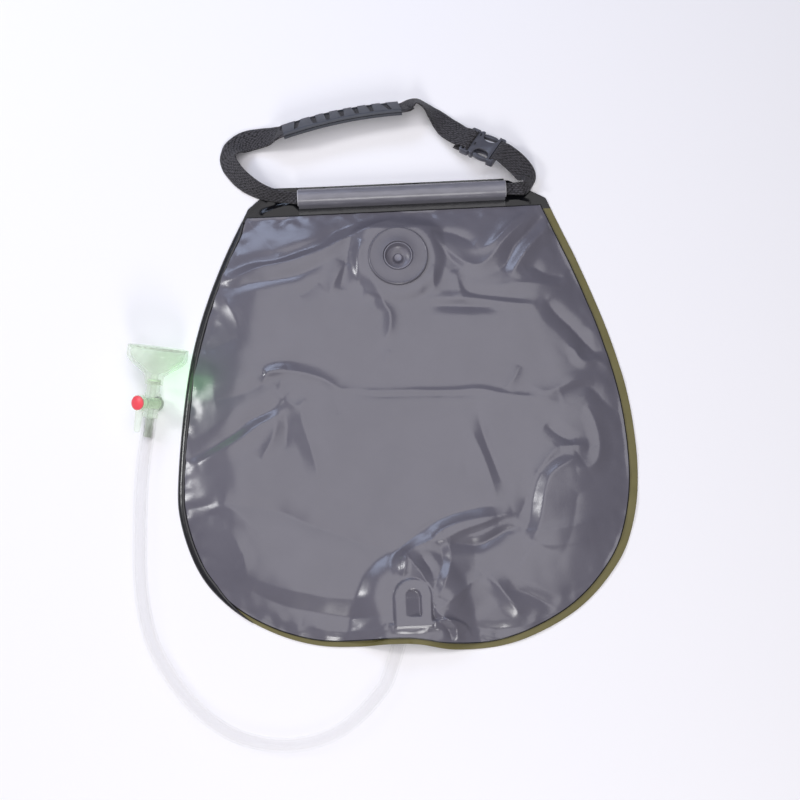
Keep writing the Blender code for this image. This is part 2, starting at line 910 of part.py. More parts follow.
def make_buckle_male(material, frame):
    """The ladder that grips the webbing, and the tongue that guides it into the pocket."""
    base_end = female_mouth - gap
    half = buckle_half_width
    corner = male_half_thickness / 2
    outline = [
        (male_start, -half + corner),
        (male_start + corner, -half),
        (base_end - corner, -half),
        (base_end, -half + corner),
        (base_end, -tongue_half_width),
        (tongue_end - tongue_half_width, -tongue_half_width),
        (tongue_end, -tongue_half_width / 3),
    ]
    outline += [(x, -y) for x, y in outline[::-1]]
    mesh = prism("buckle_male", outline, -male_half_thickness, male_half_thickness)
    male = add("buckle_male", mesh, material, frame)
    thin = pocket_half_height - gap
    high = male_half_thickness + overrun
    for side, name in ((1, "top"), (-1, "bottom")):
        low, top = sorted((side * thin, side * high))
        tool = block("tongue_trim", (base_end, -half, low), (tongue_end + overrun, half, top))
        cut(male, add(f"tongue_trim_{name}", tool, parent=frame))
    for i in range(2):
        start = male_start + ladder_bar + i * (ladder_slot + ladder_bar)
        low = (start, -pocket_half_width, -high)
        tool = block("ladder", low, (start + ladder_slot, pocket_half_width, high))
        cut(male, add(f"ladder_slot_{i + 1}", tool, parent=frame))
    return male


def arm_pivot(side):
    """Where an arm bends, just outside the male half's base."""
    return Vector((female_mouth, side * (arm_outer - arm_width / 2), 0))


def make_buckle_arm(name, side, material, frame):
    """A sprung arm, with a head that stands in the female half's window."""
    pivot = arm_pivot(side)
    inner = arm_outer - arm_width
    head_start = window_start + gap
    root = female_mouth
    outline = [
        (root, inner),
        (arm_end - arm_width, inner),
        (arm_end, inner + arm_width / 2),
        (window_end - arm_width, arm_head_outer - arm_width / 4),
        (head_start + arm_width, arm_head_outer),
        (head_start, arm_head_outer),
        (head_start, arm_outer),
        (root, arm_outer),
    ]
    local = [(x - pivot.x, side * y - pivot.y) for x, y in outline]
    mesh = prism(name, local, -arm_half_height, arm_half_height)
    return add(name, mesh, material, frame, Matrix.Translation(pivot))


# Fill valve


def valve_frame():
    top = valve_film_top + gap + valve_plate
    return frame_at("valve_frame", Matrix.Translation((valve_centre.x, valve_centre.y, top)))


def make_valve(material, frame):
    """A round plate welded to the front film, with a neck that runs down inside."""
    inner = neck_inner_radius
    outer = inner + neck_wall
    edge = valve_radius
    rim = valve_rim
    seat = inner - stopper_wall
    profile = [
        (inner, 0),
        (inner + rim, rim),
        (inner + 3 * rim, 0),
        (edge - 3 * rim, 0),
        (edge - 2 * rim, rim),
        (edge, 0),
        (edge, -valve_plate),
        (outer, -valve_plate),
        (outer, -neck_depth - stopper_seat),
        (seat, -neck_depth - stopper_seat),
        (seat, -neck_depth),
        (inner, -neck_depth),
    ]
    return add("fill_valve", turned("fill_valve", profile, fine_steps), material, frame)


def make_stopper(material, frame):
    """A cup that plugs the neck, with a knob in its floor to pull it by."""
    outer = neck_inner_radius - gap
    inner = outer - stopper_wall
    floor = -stopper_depth
    low = -neck_depth + gap
    plug = outer - 2 * stopper_wall
    profile = [
        (0, low),
        (plug, low),
        (outer, low + stopper_wall / 2),
        (outer, -valve_rim),
        (outer - valve_rim, 0),
        (inner, 0),
        (inner, floor),
        (knob_radius, floor),
        (knob_radius * 0.8, floor + knob_height / 2),
        (knob_radius, floor + knob_height),
        (knob_radius / 2, floor + knob_height),
        (0, floor + knob_height - valve_rim),
    ]
    return add("fill_stopper", turned("fill_stopper", profile, fine_steps), material, frame)


# Outlet, hose and barbs


def barbs(root):
    """The (radius, height) steps of a hose tail, from its tip up to the root."""
    found = []
    for i in range(barb_count):
        low = root - (barb_count - i) * barb_pitch
        crest = low + barb_pitch * barb_crest_share
        found.append((barb_root_radius, low))
        found.append((barb_radius, crest))
        found.append((barb_root_radius, crest + barb_pitch * barb_step_share))
    return found


def tail_length():
    return barb_count * barb_pitch


def spout_matrix():
    """Z runs out of the outlet's spout, from where the hose ends on it."""
    start = Vector((outlet_centre.x, outlet_centre.y, hose_floor))
    place = start + outlet_way.to_3d() * elbow_reach
    out = outlet_way.to_3d()
    side = Vector((0, 0, 1)).cross(out)
    turn = Matrix((side.cross(out), side, out))
    return Matrix.Translation(place) @ turn.transposed().to_4x4()


def tombstone(width, length, steps):
    """An outline with a round top and a square foot, centred on its height."""
    half = width / 2
    shoulder = length / 2 - half
    found = [(-half, -length / 2), (half, -length / 2)]
    for i in range(steps + 1):
        angle = math.pi * i / steps
        found.append((half * math.cos(angle), shoulder + half * math.sin(angle)))
    return found


def make_outlet(material):
    """A flange on the back film, and under it an elbow with a barbed spout."""
    seat = hose_clear + back_film + gap
    frame = frame_at("outlet_frame", Matrix.Translation(outlet_centre.to_3d()))
    steps = small_steps // 2
    outline = tombstone(outlet_plate_width, outlet_plate_length, steps)
    plate = prism("outlet", outline, seat, seat + outlet_plate)
    outlet = add("outlet_fitting", plate, material, frame)
    low = hose_floor - elbow_radius
    stub = rod("outlet_stub", elbow_radius, low, seat + outlet_plate / 2, small_steps)
    join(outlet, add("outlet_stub", stub, parent=frame))
    spout = frame_at("spout_frame", spout_matrix())
    profile = [(0, -tail_length())] + barbs(0)
    profile = [(radius, -height) for radius, height in profile]
    profile += [(barb_root_radius, 0), (elbow_radius, 0)]
    profile += [(elbow_radius, -elbow_reach), (0, -elbow_reach)]
    join(outlet, add("outlet_spout", turned("outlet_spout", profile, small_steps), parent=spout))
    window = tombstone(outlet_window_width, outlet_window_length, steps)
    top = seat + outlet_plate
    pocket = prism("outlet_window", window, top - outlet_window_depth, top + overrun)
    drop = rod("outlet_drop", outlet_bore_radius, hose_floor, top, small_steps)
    reach = tail_length() + overrun
    bore = rod("outlet_bore", spout_bore_radius, -elbow_reach, reach, small_steps)
    cut(outlet, add("outlet_window", pocket, parent=frame), add("outlet_drop", drop, parent=frame))
    cut(outlet, add("outlet_bore", bore, parent=spout))
    return outlet


# Where the hose lies and where it ends at the head, as shares of the bag's half width and length
hose_shares = (
    (-0.1278, -1.0973),
    (-0.1762, -1.1638),
    (-0.2467, -1.2323),
    (-0.3348, -1.2926),
    (-0.4471, -1.3321),
    (-0.5727, -1.3433),
    (-0.7004, -1.3238),
    (-0.8150, -1.2781),
    (-0.9185, -1.2032),
    (-1.0044, -1.1097),
    (-1.0771, -1.0037),
    (-1.1300, -0.8894),
    (-1.1586, -0.7606),
    (-1.1696, -0.6234),
    (-1.1683, -0.4780),
    (-1.1630, -0.3325),
    (-1.1520, -0.1995),
)
head_shares = (-1.1172, 0.0050)


def head_matrix():
    """Z runs up the shower head from the hose's end, and X along the tap's spindle."""
    turn = math.radians(head_heading_deg)
    rise = math.radians(head_rise_deg)
    lean = math.radians(spindle_lean_deg)
    out = Vector((math.sin(turn) * math.cos(rise), math.cos(turn) * math.cos(rise), math.sin(rise)))
    up = (Vector((0, 0, 1)) - out * out.z).normalized()
    spindle = up * math.cos(lean) + up.cross(out) * math.sin(lean)
    turn = Matrix((spindle, out.cross(spindle), out)).transposed()
    end = bag_point(head_shares)
    return Matrix.Translation((end.x, end.y, head_z)) @ turn.to_4x4()


def hose_route():
    """Where the hose lies: straight out of the spout, round on the floor, and up to the tap."""
    spout = spout_matrix()
    head = head_matrix()
    start = [spout @ Vector((0, 0, reach)) for reach in (gap, 2 * hose_radius)]
    lying = [bag_point(pair) for pair in hose_shares]
    stop = [head @ Vector((0, 0, -reach)) for reach in (2 * hose_radius, gap)]
    return start + [Vector((point.x, point.y, hose_floor)) for point in lying] + stop


def make_hose(material):
    """A plain tube along the route, socketed over the barbs at both ends."""
    points = along(smooth_through(hose_route()[1:-1], 4), 4 * hose_radius)
    points = [hose_route()[0]] + points + [hose_route()[-1]]
    curve = bpy.data.curves.new("hose_line", "CURVE")
    curve.dimensions = "3D"
    curve.bevel_depth = hose_radius
    curve.bevel_resolution = 2
    curve.use_fill_caps = True
    line = curve.splines.new("POLY")
    line.points.add(len(points) - 1)
    for knot, point in zip(line.points, points):
        knot.co = (*point, 1)
    guide = bpy.data.objects.new("hose_line", curve)
    bpy.context.scene.collection.objects.link(guide)
    mesh = bpy.data.meshes.new_from_object(guide)
    bpy.data.objects.remove(guide)
    form = bmesh.new()
    form.from_mesh(mesh)
    bmesh.ops.remove_doubles(form, verts=form.verts, dist=merge_distance)
    bmesh.ops.recalc_face_normals(form, faces=form.faces)
    form.to_mesh(mesh)
    form.free()
    hose = add("hose", round_smooth(mesh), material)
    reach = tail_length() + gap
    for name, matrix, way in (("spout", spout_matrix(), 1), ("tap", head_matrix(), -1)):
        low, high = sorted((-way * overrun, way * reach))
        socket = rod(f"hose_socket_{name}", barb_radius + gap, low, high, small_steps)
        cut(hose, add(f"hose_socket_{name}", socket, place=matrix))
    return hose


# Tap

turn_to_spindle = Matrix.Rotation(math.pi / 2, 4, "Y")


def spindle_place(along_head=0):
    """In the head's frame: Z out along the spindle, from the pipe's axis."""
    return Matrix.Translation((0, 0, spindle_at + along_head)) @ turn_to_spindle


def make_tap_body(material, frame):
    """Hose tail, collar, the housing across it for the rotor, and the neck for the rose."""
    profile = [(0, -tail_length())] + barbs(0) + [(barb_root_radius, 0), (collar_radius, 0)]
    step = collar_radius - neck_radius
    profile += [
        (collar_radius, collar_length),
        (body_radius - step, collar_length + step / 2),
        (body_radius, collar_length + step),
        (body_radius, body_length),
        (neck_radius, body_length + step),
        (neck_radius, neck_end),
        (0, neck_end),
    ]
    body = add("tap_body", turned("tap_body", profile, middle_steps), material, frame)
    housing = rod("tap_housing", housing_radius, housing_low, housing_high, middle_steps)
    join(body, add("tap_housing", housing, parent=frame, place=spindle_place()))
    low = -tail_length() - overrun
    bore = rod("tap_bore", pipe_bore_radius, low, neck_end + overrun, small_steps)
    cut(body, add("tap_bore", bore, parent=frame))
    well = rod("tap_well", rotor_radius + gap, housing_low - overrun, housing_high + overrun, middle_steps)
    cut(body, add("tap_well", well, parent=frame, place=spindle_place()))
    return body


def make_rotor(material, frame):
    """The plug with its cross bore, two seal grooves, a clip groove and a square stem."""
    radius = rotor_radius
    deep = radius - seal_groove_depth
    half = seal_height / 2 + gap
    clip_top = housing_low
    clip_low = clip_top - clip_height - 2 * gap
    clip_deep = radius - clip_groove_depth
    profile = [(0, rotor_low), (radius, rotor_low), (radius, clip_low), (clip_deep, clip_low)]
    profile += [(clip_deep, clip_top), (radius, clip_top)]
    for place in (-seal_place, seal_place):
        profile += [(radius, place - half), (deep, place - half)]
        profile += [(deep, place + half), (radius, place + half)]
    profile += [(radius, housing_high), (0, housing_high)]
    mesh = turned("tap_rotor", profile, middle_steps)
    rotor = add("tap_rotor", mesh, material, frame, spindle_place())
    side = stem_side / 2
    top = housing_high + stem_height
    stem = block("tap_stem", (-side, -side, housing_high - overrun), (side, side, top))
    join(rotor, add("tap_stem", stem, parent=frame, place=spindle_place()))
    reach = rotor_radius + overrun
    waterway = rod("tap_waterway", pipe_bore_radius, -reach, reach, small_steps)
    cut(rotor, add("tap_waterway", waterway, parent=frame, place=Matrix.Translation((0, 0, spindle_at))))
    pilot = rod("stem_pilot", screw_radius + gap, top - screw_length - gap, top + overrun, small_steps)
    cut(rotor, add("stem_pilot", pilot, parent=frame, place=spindle_place()))
    return rotor


def make_rotor_seal(name, place, material, frame):
    inner = rotor_radius - seal_groove_depth + gap
    outer = rotor_radius
    half = seal_height / 2
    nip = half / 2
    profile = [
        (inner, place - nip),
        (inner + nip, place - half),
        (outer - nip, place - half),
        (outer, place - nip),
        (outer, place + nip),
        (outer - nip, place + half),
        (inner + nip, place + half),
        (inner, place + nip),
    ]
    return add(name, turned(name, profile, middle_steps), material, frame, spindle_place())


def make_clip(material, frame):
    """The open ring that holds the rotor in from below."""
    top = housing_low - gap
    inner = rotor_radius - clip_groove_depth + gap
    mesh = ring("retaining_clip", inner, clip_outer_radius, top - clip_height, top, middle_steps)
    clip = add("retaining_clip", mesh, material, frame, spindle_place())
    half = clip_mouth / 2
    low = top - clip_height - overrun
    mouth = block("clip_mouth", (0, -half, low), (clip_outer_radius + overrun, half, top + overrun))
    cut(clip, add("clip_mouth", mouth, parent=frame, place=spindle_place()))
    return clip


def hub_levels():
    low = housing_high + gap
    return low, low + hub_height


def make_handle(material, frame):
    """A hub on the square stem, and a flat tapered lever along the hose."""
    low, high = hub_levels()
    mesh = rod("tap_handle", hub_radius, low, high, middle_steps)
    handle = add("tap_handle", mesh, material, frame, spindle_place())
    half = lever_width / 2
    taper = half * 0.75
    end = lever_length - taper
    outline = [(0, half), (end, taper)]
    steps = small_steps // 2
    for i in range(1, steps):
        angle = math.pi * (0.5 - i / steps)
        outline.append((end + taper * math.cos(angle), taper * math.sin(angle)))
    outline += [(end, -taper), (0, -half)]
    mid = (low + high) / 2
    blade = prism("lever", outline, mid - lever_thickness / 2, mid + lever_thickness / 2)
    join(handle, add("lever_blade", blade, parent=frame, place=spindle_place()))
    side = stem_side / 2 + gap
    top = housing_high + stem_height + gap
    socket = block("hub_socket", (-side, -side, low - overrun), (side, side, top))
    recess = rod("hub_recess", hub_recess_radius, high - hub_recess, high + overrun, middle_steps)
    through = rod("hub_through", screw_radius + gap, top - overrun, high, small_steps)
    for name, tool in (("hub_socket", socket), ("hub_recess", recess), ("hub_through", through)):
        cut(handle, add(name, tool, parent=frame, place=spindle_place()))
    return handle


def make_screw(material, frame):
    """The screw that holds the hub down on the stem."""
    seat = hub_levels()[1] - hub_recess + gap
    stem_top = housing_high + stem_height
    tip = stem_top - screw_length
    profile = [
        (0, tip),
        (screw_radius, tip),
        (screw_radius, seat),
        (screw_head_radius, seat),
        (screw_head_radius, seat + screw_head_height / 2),
        (screw_radius, seat + screw_head_height),
        (0, seat + screw_head_height),
    ]
    mesh = turned("handle_screw", profile, small_steps)
    return add("handle_screw", mesh, material, frame, spindle_place())


def make_cap(material, frame):
    """A round cap over the screw, with a ring spigot in the hub's recess."""
    high = hub_levels()[1] + gap
    spigot_low = high - hub_recess + gap
    outer = hub_recess_radius - gap
    inner = outer - cap_spigot_wall
    nip = cap_height / 3
    profile = [
        (0, high),
        (inner, high),
        (inner, spigot_low),
        (outer, spigot_low),
        (outer, high),
        (cap_radius, high),
        (cap_radius, high + cap_height - nip),
        (cap_radius - nip, high + cap_height),
        (0, high + cap_height),
    ]
    return add("handle_cap", turned("handle_cap", profile, middle_steps), material, frame, spindle_place())


# Rose


def rose_inner_radius():
    return rose_radius - rose_wall


def flare_radius(share):
    """The bell's radius at a share of the way from its socket to its rim."""
    swell = math.sin(share * math.pi / 2) ** 1.3
    return rose_socket_radius + (rose_radius - rose_socket_radius) * swell


def make_rose(material, frame):
    """The bell: a socket over the tap's neck, a throat, a flared cone and a straight rim."""
    rim_start = rose_face - rose_rim_height
    mouth = rose_inner_radius()
    seat = rose_face - plate_setback - plate_thickness - gap
    inside_rim = mouth - plate_seat
    socket = neck_radius + gap
    flare = []
    steps = 5
    start = rose_shoulder_end - rose_wall
    for i in range(steps + 1):
        share = i / steps
        flare.append((flare_radius(share), start + (rim_start - start) * share))
    profile = [(socket, rose_socket_start), (rose_socket_radius, rose_socket_start)] + flare
    profile += [
        (rose_radius, rose_face),
        (mouth, rose_face),
        (mouth, seat),
        (inside_rim, seat),
        (inside_rim, rim_start + rose_wall / 2),
    ]
    for share in (0.6, 0.25):
        height = start + (rim_start - start) * share + rose_wall
        profile.append((flare_radius(share) - 2 * rose_wall, height))
    profile += [
        (rose_throat_radius, rose_shoulder_end + rose_wall / 2),
        (rose_throat_radius, rose_shoulder),
        (socket, rose_shoulder),
    ]
    return add("rose_bell", turned("rose_bell", profile, fine_steps), material, frame)


def make_rose_seal(material, frame):
    low = neck_end + gap
    high = rose_shoulder - gap
    mesh = ring("rose_seal", rose_throat_radius, seal_washer_radius, low, high, small_steps)
    return add("rose_seal", mesh, material, frame)


def make_spray_plate(material, frame):
    """A round plate with a middle jet and rings of jets round it."""
    high = rose_face - plate_setback
    low = high - plate_thickness
    mesh = rod("spray_plate", rose_inner_radius() - gap, low, high, fine_steps)
    plate = add("spray_plate", mesh, material, frame)
    form = bmesh.new()
    for ring_number in range(jet_rings + 1):
        count = max(1, 6 * ring_number)
        for i in range(count):
            angle = math.tau * i / count
            reach = ring_number * jet_pitch
            centre = Vector((reach * math.cos(angle), reach * math.sin(angle), (low + high) / 2))
            bmesh.ops.create_cone(
                form,
                cap_ends=True,
                segments=6,
                radius1=jet_radius,
                radius2=jet_radius,
                depth=plate_thickness + 2 * overrun,
                matrix=Matrix.Translation(centre),
            )
    jets = bpy.data.meshes.new("jets")
    form.to_mesh(jets)
    form.free()
    cut(plate, add("jets", jets, parent=frame))
    return plate


def make_bag():
    olive = finish("olive PVC film", "6f6b3f", 0.55)
    grey = finish("grey PVC film", "77757f", 0.35)
    make_back_panel(olive)
    make_front_panel(grey)
    make_sleeve(finish("clear grey sleeve film", "8e8d96", 0.3))
    make_rod(finish("grey conduit", "85848d", 0.4))
    valve = valve_frame()
    make_valve(finish("grey valve PVC", "6f6d77", 0.35), valve)
    make_stopper(finish("grey stopper PVC", "66646e", 0.35), valve)
    make_outlet(finish("dark outlet plastic", "3c3b42", 0.35))


def make_strap():
    webbing = finish("black webbing", "2f2e33", 0.9)
    plastic = finish("grey acetal", "4b4d56", 0.4)
    make_rod_webbing(webbing)
    make_left_webbing(webbing)
    make_tail(webbing)
    make_grip(finish("slate rubber", "555b63", 0.6))
    frame = frame_at("buckle_frame", buckle_matrix())
    make_buckle_male(plastic, frame)
    make_buckle_arm("buckle_arm_upper", 1, plastic, frame)
    make_buckle_arm("buckle_arm_lower", -1, plastic, frame)
    make_buckle_female(plastic, frame)
    make_right_webbing(webbing)


def make_head():
    green = finish("translucent green plastic", "c9f2c4", 0.3, transmission=0.5)
    rubber = finish("black seal rubber", "202022", 0.7)
    make_hose(finish("clear hose PVC", "e8eef0", 0.1, transmission=0.9))
    frame = frame_at("head_frame", head_matrix())
    make_tap_body(green, frame)
    make_rotor(finish("pale rotor plastic", "d9f5d2", 0.35, transmission=0.3), frame)
    make_rotor_seal("rotor_seal_upper", seal_place, rubber, frame)
    make_rotor_seal("rotor_seal_lower", -seal_place, rubber, frame)
    make_clip(finish("spring steel", "a8abb0", 0.3, metallic=1.0), frame)
    make_handle(green, frame)
    make_screw(finish("zinc screw", "c4c6ca", 0.35, metallic=1.0), frame)
    make_cap(finish("red cap plastic", "e0313f", 0.4), frame)
    make_rose(green, frame)
    make_rose_seal(rubber, frame)
    make_spray_plate(green, frame)


clear_scene()
make_bag()
make_strap()
make_head()
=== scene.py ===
"""Camp shower bag, empty and laid on its back on a pale floor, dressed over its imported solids.

X runs along the hanging rod, Y up the bag and Z up from the floor. Lengths are in metres.
"""

import math

import bmesh
import bpy
import numpy as np
from mathutils import Matrix, Vector, noise
from mathutils.geometry import delaunay_2d_cdt


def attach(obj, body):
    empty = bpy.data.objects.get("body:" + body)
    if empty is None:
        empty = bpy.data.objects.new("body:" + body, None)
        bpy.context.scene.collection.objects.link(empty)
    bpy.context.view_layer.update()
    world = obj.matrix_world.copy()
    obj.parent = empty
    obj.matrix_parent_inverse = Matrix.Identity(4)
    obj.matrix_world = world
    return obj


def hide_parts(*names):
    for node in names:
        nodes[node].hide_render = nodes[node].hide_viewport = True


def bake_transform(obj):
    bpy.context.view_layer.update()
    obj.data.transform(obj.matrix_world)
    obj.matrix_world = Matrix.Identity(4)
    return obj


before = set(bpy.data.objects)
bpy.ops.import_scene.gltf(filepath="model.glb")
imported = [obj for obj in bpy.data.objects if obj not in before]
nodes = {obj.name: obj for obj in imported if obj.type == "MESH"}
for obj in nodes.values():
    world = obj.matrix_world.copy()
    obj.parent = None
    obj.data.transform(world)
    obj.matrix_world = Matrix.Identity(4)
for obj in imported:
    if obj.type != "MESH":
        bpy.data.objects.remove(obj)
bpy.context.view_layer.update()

# Viewpoint
# The bag is seen from its foot, nearly from above, from 1.7 m through a short telephoto lens.
# In the photograph the bag lies turned by a few degrees, so the camera is turned instead.

eye_distance = 1.7
view_elevation = math.radians(76)
view_turn = math.radians(-2.75)
view_aim = Vector((-0.0051, 0.0102, 0))
view_back = Vector(
    (
        math.sin(view_turn) * math.cos(view_elevation),
        -math.cos(view_turn) * math.cos(view_elevation),
        math.sin(view_elevation),
    )
)
view_right = Vector((math.cos(view_turn), math.sin(view_turn), 0))
view_up = view_back.cross(view_right)
eye = view_aim + view_back * eye_distance
picture_px = 800
focal_px = 1700

lens = bpy.data.cameras.new("lens")
lens.sensor_width = 36
lens.lens = lens.sensor_width * focal_px / picture_px


def put_in_scene(name, data):
    """A new object of this name that holds the data."""
    made = bpy.data.objects.new(name, data)
    bpy.context.scene.collection.objects.link(made)
    return made


camera = put_in_scene("camera", lens)
camera.location = eye
camera.rotation_euler = Matrix((view_right, view_up, view_back)).transposed().to_euler()
bpy.context.scene.camera = camera

# Clear hose
# Soft PVC tube, extruded, 14 mm outside with a 2 mm wall. It is pushed over the barbs of the
# outlet at one end and of the tap at the other, and lies loose on the floor between them.

hose_radius = 0.0070
hose_bore = 0.0050
hose_floor = 0.0072
hose_steps = 28
spout_end = Vector((-0.00724, -0.20678, 0.0072))
spout_way = Vector((-0.40355, -0.91496, 0))
tap_end = Vector((-0.2536, 0.0012, 0.0116))
tap_way = Vector((0.17153, 0.94385, 0.28234))
face_gap = 0.0003
hose_lying = (
    (-0.0290, -0.2640), (-0.0400, -0.2800), (-0.0560, -0.2965), (-0.0760, -0.3110),
    (-0.1015, -0.3205), (-0.1300, -0.3232), (-0.1590, -0.3185), (-0.1850, -0.3075),
    (-0.2085, -0.2895), (-0.2280, -0.2670), (-0.2445, -0.2415), (-0.2565, -0.2140),
    (-0.2630, -0.1830), (-0.2655, -0.1500), (-0.2652, -0.1150), (-0.2640, -0.0800),
    (-0.2615, -0.0480),
)


def linear_rgb(hex_colour):
    """An sRGB hex colour as the linear colour that a shader takes."""
    found = []
    for i in (0, 2, 4):
        value = int(hex_colour[i : i + 2], 16) / 255
        found.append(value / 12.92 if value <= 0.04045 else ((value + 0.055) / 1.055) ** 2.4)
    return (*found, 1.0)


def add_node(tree, kind, settings=None, **inputs):
    """A shader node with its settings, and its inputs as values or as outputs to link.

    An input is named as in Blender, with _ for a space, or by its number after an n.
    """
    made = tree.nodes.new("ShaderNode" + kind)
    for name, value in (settings or {}).items():
        setattr(made, name, value)
    for name, value in inputs.items():
        by_number = name[0] == "n" and name[1:].isdigit()
        socket = made.inputs[int(name[1:])] if by_number else made.inputs[name.replace("_", " ")]
        if isinstance(value, bpy.types.NodeSocket):
            tree.links.new(value, socket)
        else:
            socket.default_value = value
    return made


def start_material(name, hex_colour, roughness, ior=1.5, metallic=0.0):
    """A material with its main shader, and the tree to build its pattern in."""
    made = bpy.data.materials.new(name)
    made.use_nodes = True
    shader = made.node_tree.nodes["Principled BSDF"]
    shader.inputs["Base Color"].default_value = linear_rgb(hex_colour)
    shader.inputs["Roughness"].default_value = roughness
    shader.inputs["IOR"].default_value = ior
    shader.inputs["Metallic"].default_value = metallic
    return made, made.node_tree, shader


def noise_over(tree, scale, detail, drawn_out=None):
    """Noise over the object, in streaks along X where a scale for that axis is given."""
    place = add_node(tree, "TexCoord").outputs["Object"]
    if drawn_out:
        streaks = add_node(tree, "Mapping", Vector=place, Scale=(drawn_out, 1.0, 1.0))
        place = streaks.outputs["Vector"]
    return add_node(tree, "TexNoise", Vector=place, Scale=scale, Detail=detail).outputs["Fac"]


def add_relief(tree, shader, height, strength, depth):
    """Gives the surface the small ups and downs of this height."""
    level = add_node(tree, "Bump", Height=height, Strength=strength, Distance=depth)
    tree.links.new(level.outputs["Normal"], shader.inputs["Normal"])


def add_tint(tree, shader, share, dark, light):
    """Colours the surface between two hex colours, by this share of the second."""
    tint = add_node(tree, "Mix", {"data_type": "RGBA"}, n0=share, n6=linear_rgb(dark), n7=linear_rgb(light))
    tree.links.new(tint.outputs[2], shader.inputs["Base Color"])
    return tint.outputs[2]


def add_range(tree, shader, setting, share, low, high):
    """Sets one of the shader's values between low and high, by this share."""
    level = add_node(tree, "MapRange", Value=share, To_Min=low, To_Max=high)
    tree.links.new(level.outputs["Result"], shader.inputs[setting])


def mesh_from(name, points, faces, material):
    """A smooth-shaded object in the object's own frame, from points and faces."""
    mesh = bpy.data.meshes.new(name)
    mesh.from_pydata([tuple(point) for point in points], [], faces)
    mesh.validate()
    mesh.shade_smooth()
    mesh.materials.append(material)
    return put_in_scene(name, mesh)


def smooth_line(points, steps):
    """Points on a Catmull-Rom curve through the given ones, ends included."""
    rows = [np.array(point, float) for point in points]
    rows = [2 * rows[0] - rows[1]] + rows + [2 * rows[-1] - rows[-2]]
    found = []
    for before, start, stop, after in zip(rows, rows[1:], rows[2:], rows[3:]):
        for i in range(steps):
            t = i / steps
            pull = (stop - before) * t + (2 * before - 5 * start + 4 * stop - after) * t**2
            found.append(start + (pull + (3 * start - before - 3 * stop + after) * t**3) / 2)
    found.append(rows[-2])
    return np.array(found)


def tube_wall(points, outer, inner, steps):
    """Points and faces of a tube with a bore that follows these points, its ends closed by rings."""
    sideways = Vector((0, 0, 1)).cross(Vector(points[1] - points[0])).normalized()
    corners = []
    for i, point in enumerate(points):
        ahead = Vector(points[min(i + 1, len(points) - 1)] - points[max(i - 1, 0)]).normalized()
        sideways = (sideways - ahead * sideways.dot(ahead)).normalized()
        other = ahead.cross(sideways)
        for radius in (outer, inner):
            for k in range(steps):
                angle = math.tau * k / steps
                way = sideways * math.cos(angle) + other * math.sin(angle)
                corners.append(Vector(point) + way * radius)
    faces = []
    row = 2 * steps
    last = (len(points) - 1) * row
    for i in range(len(points) - 1):
        for k in range(steps):
            a = i * row + k
            b = i * row + (k + 1) % steps
            faces.append((a, b, b + row, a + row))
            faces.append((a + steps, a + steps + row, b + steps + row, b + steps))
    for k in range(steps):
        b = (k + 1) % steps
        faces.append((k, k + steps, b + steps, b))
        faces.append((last + k, last + b, last + b + steps, last + k + steps))
    return corners, faces


def clear_plastic(name, hex_colour, tint_colour, low, high, roughness):
    """A thin clear plastic: see-through face on, and denser where it is seen edge on."""
    made, tree, shader = start_material(name, hex_colour, roughness, ior=1.49)
    add_relief(tree, shader, noise_over(tree, 160.0, 3.0), 0.15, 0.0005)
    through = add_node(tree, "BsdfTransparent", Color=linear_rgb(tint_colour))
    rim = add_node(tree, "LayerWeight", Blend=0.35)
    dense = add_node(tree, "MapRange", Value=rim.outputs["Facing"], To_Min=low, To_Max=high)
    both = add_node(tree, "MixShader", n0=dense.outputs[0], n1=through.outputs[0], n2=shader.outputs[0])
    tree.links.new(both.outputs[0], tree.nodes["Material Output"].inputs["Surface"])
    return made


# Clear extruded PVC: nearly invisible on white, with a pale line along each side of its wall.
clear_pvc = clear_plastic("clear soft PVC, extruded", "fdfcf9", "fefefe", 0.005, 0.12, 0.1)

hose_route = [spout_end + spout_way * face_gap, spout_end + spout_way * 2 * hose_radius]
hose_route += [Vector((x, y, hose_floor)) for x, y in hose_lying]
hose_route += [tap_end - tap_way * 2 * hose_radius, tap_end - tap_way * face_gap]
hose_line = smooth_line(hose_route, 8)
hose = mesh_from("clear_hose", *tube_wall(hose_line, hose_radius, hose_bore, hose_steps), clear_pvc)
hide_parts("hose")
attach(hose, "bag")

# Back film
# Olive PVC film, calendered and cut to the bag's outline. It shows as a matt flange round the
# front film, and has gone black and glossy where it is welded along the head. It is made as one
# sheet of triangles that lies on the floor and over the outlet.

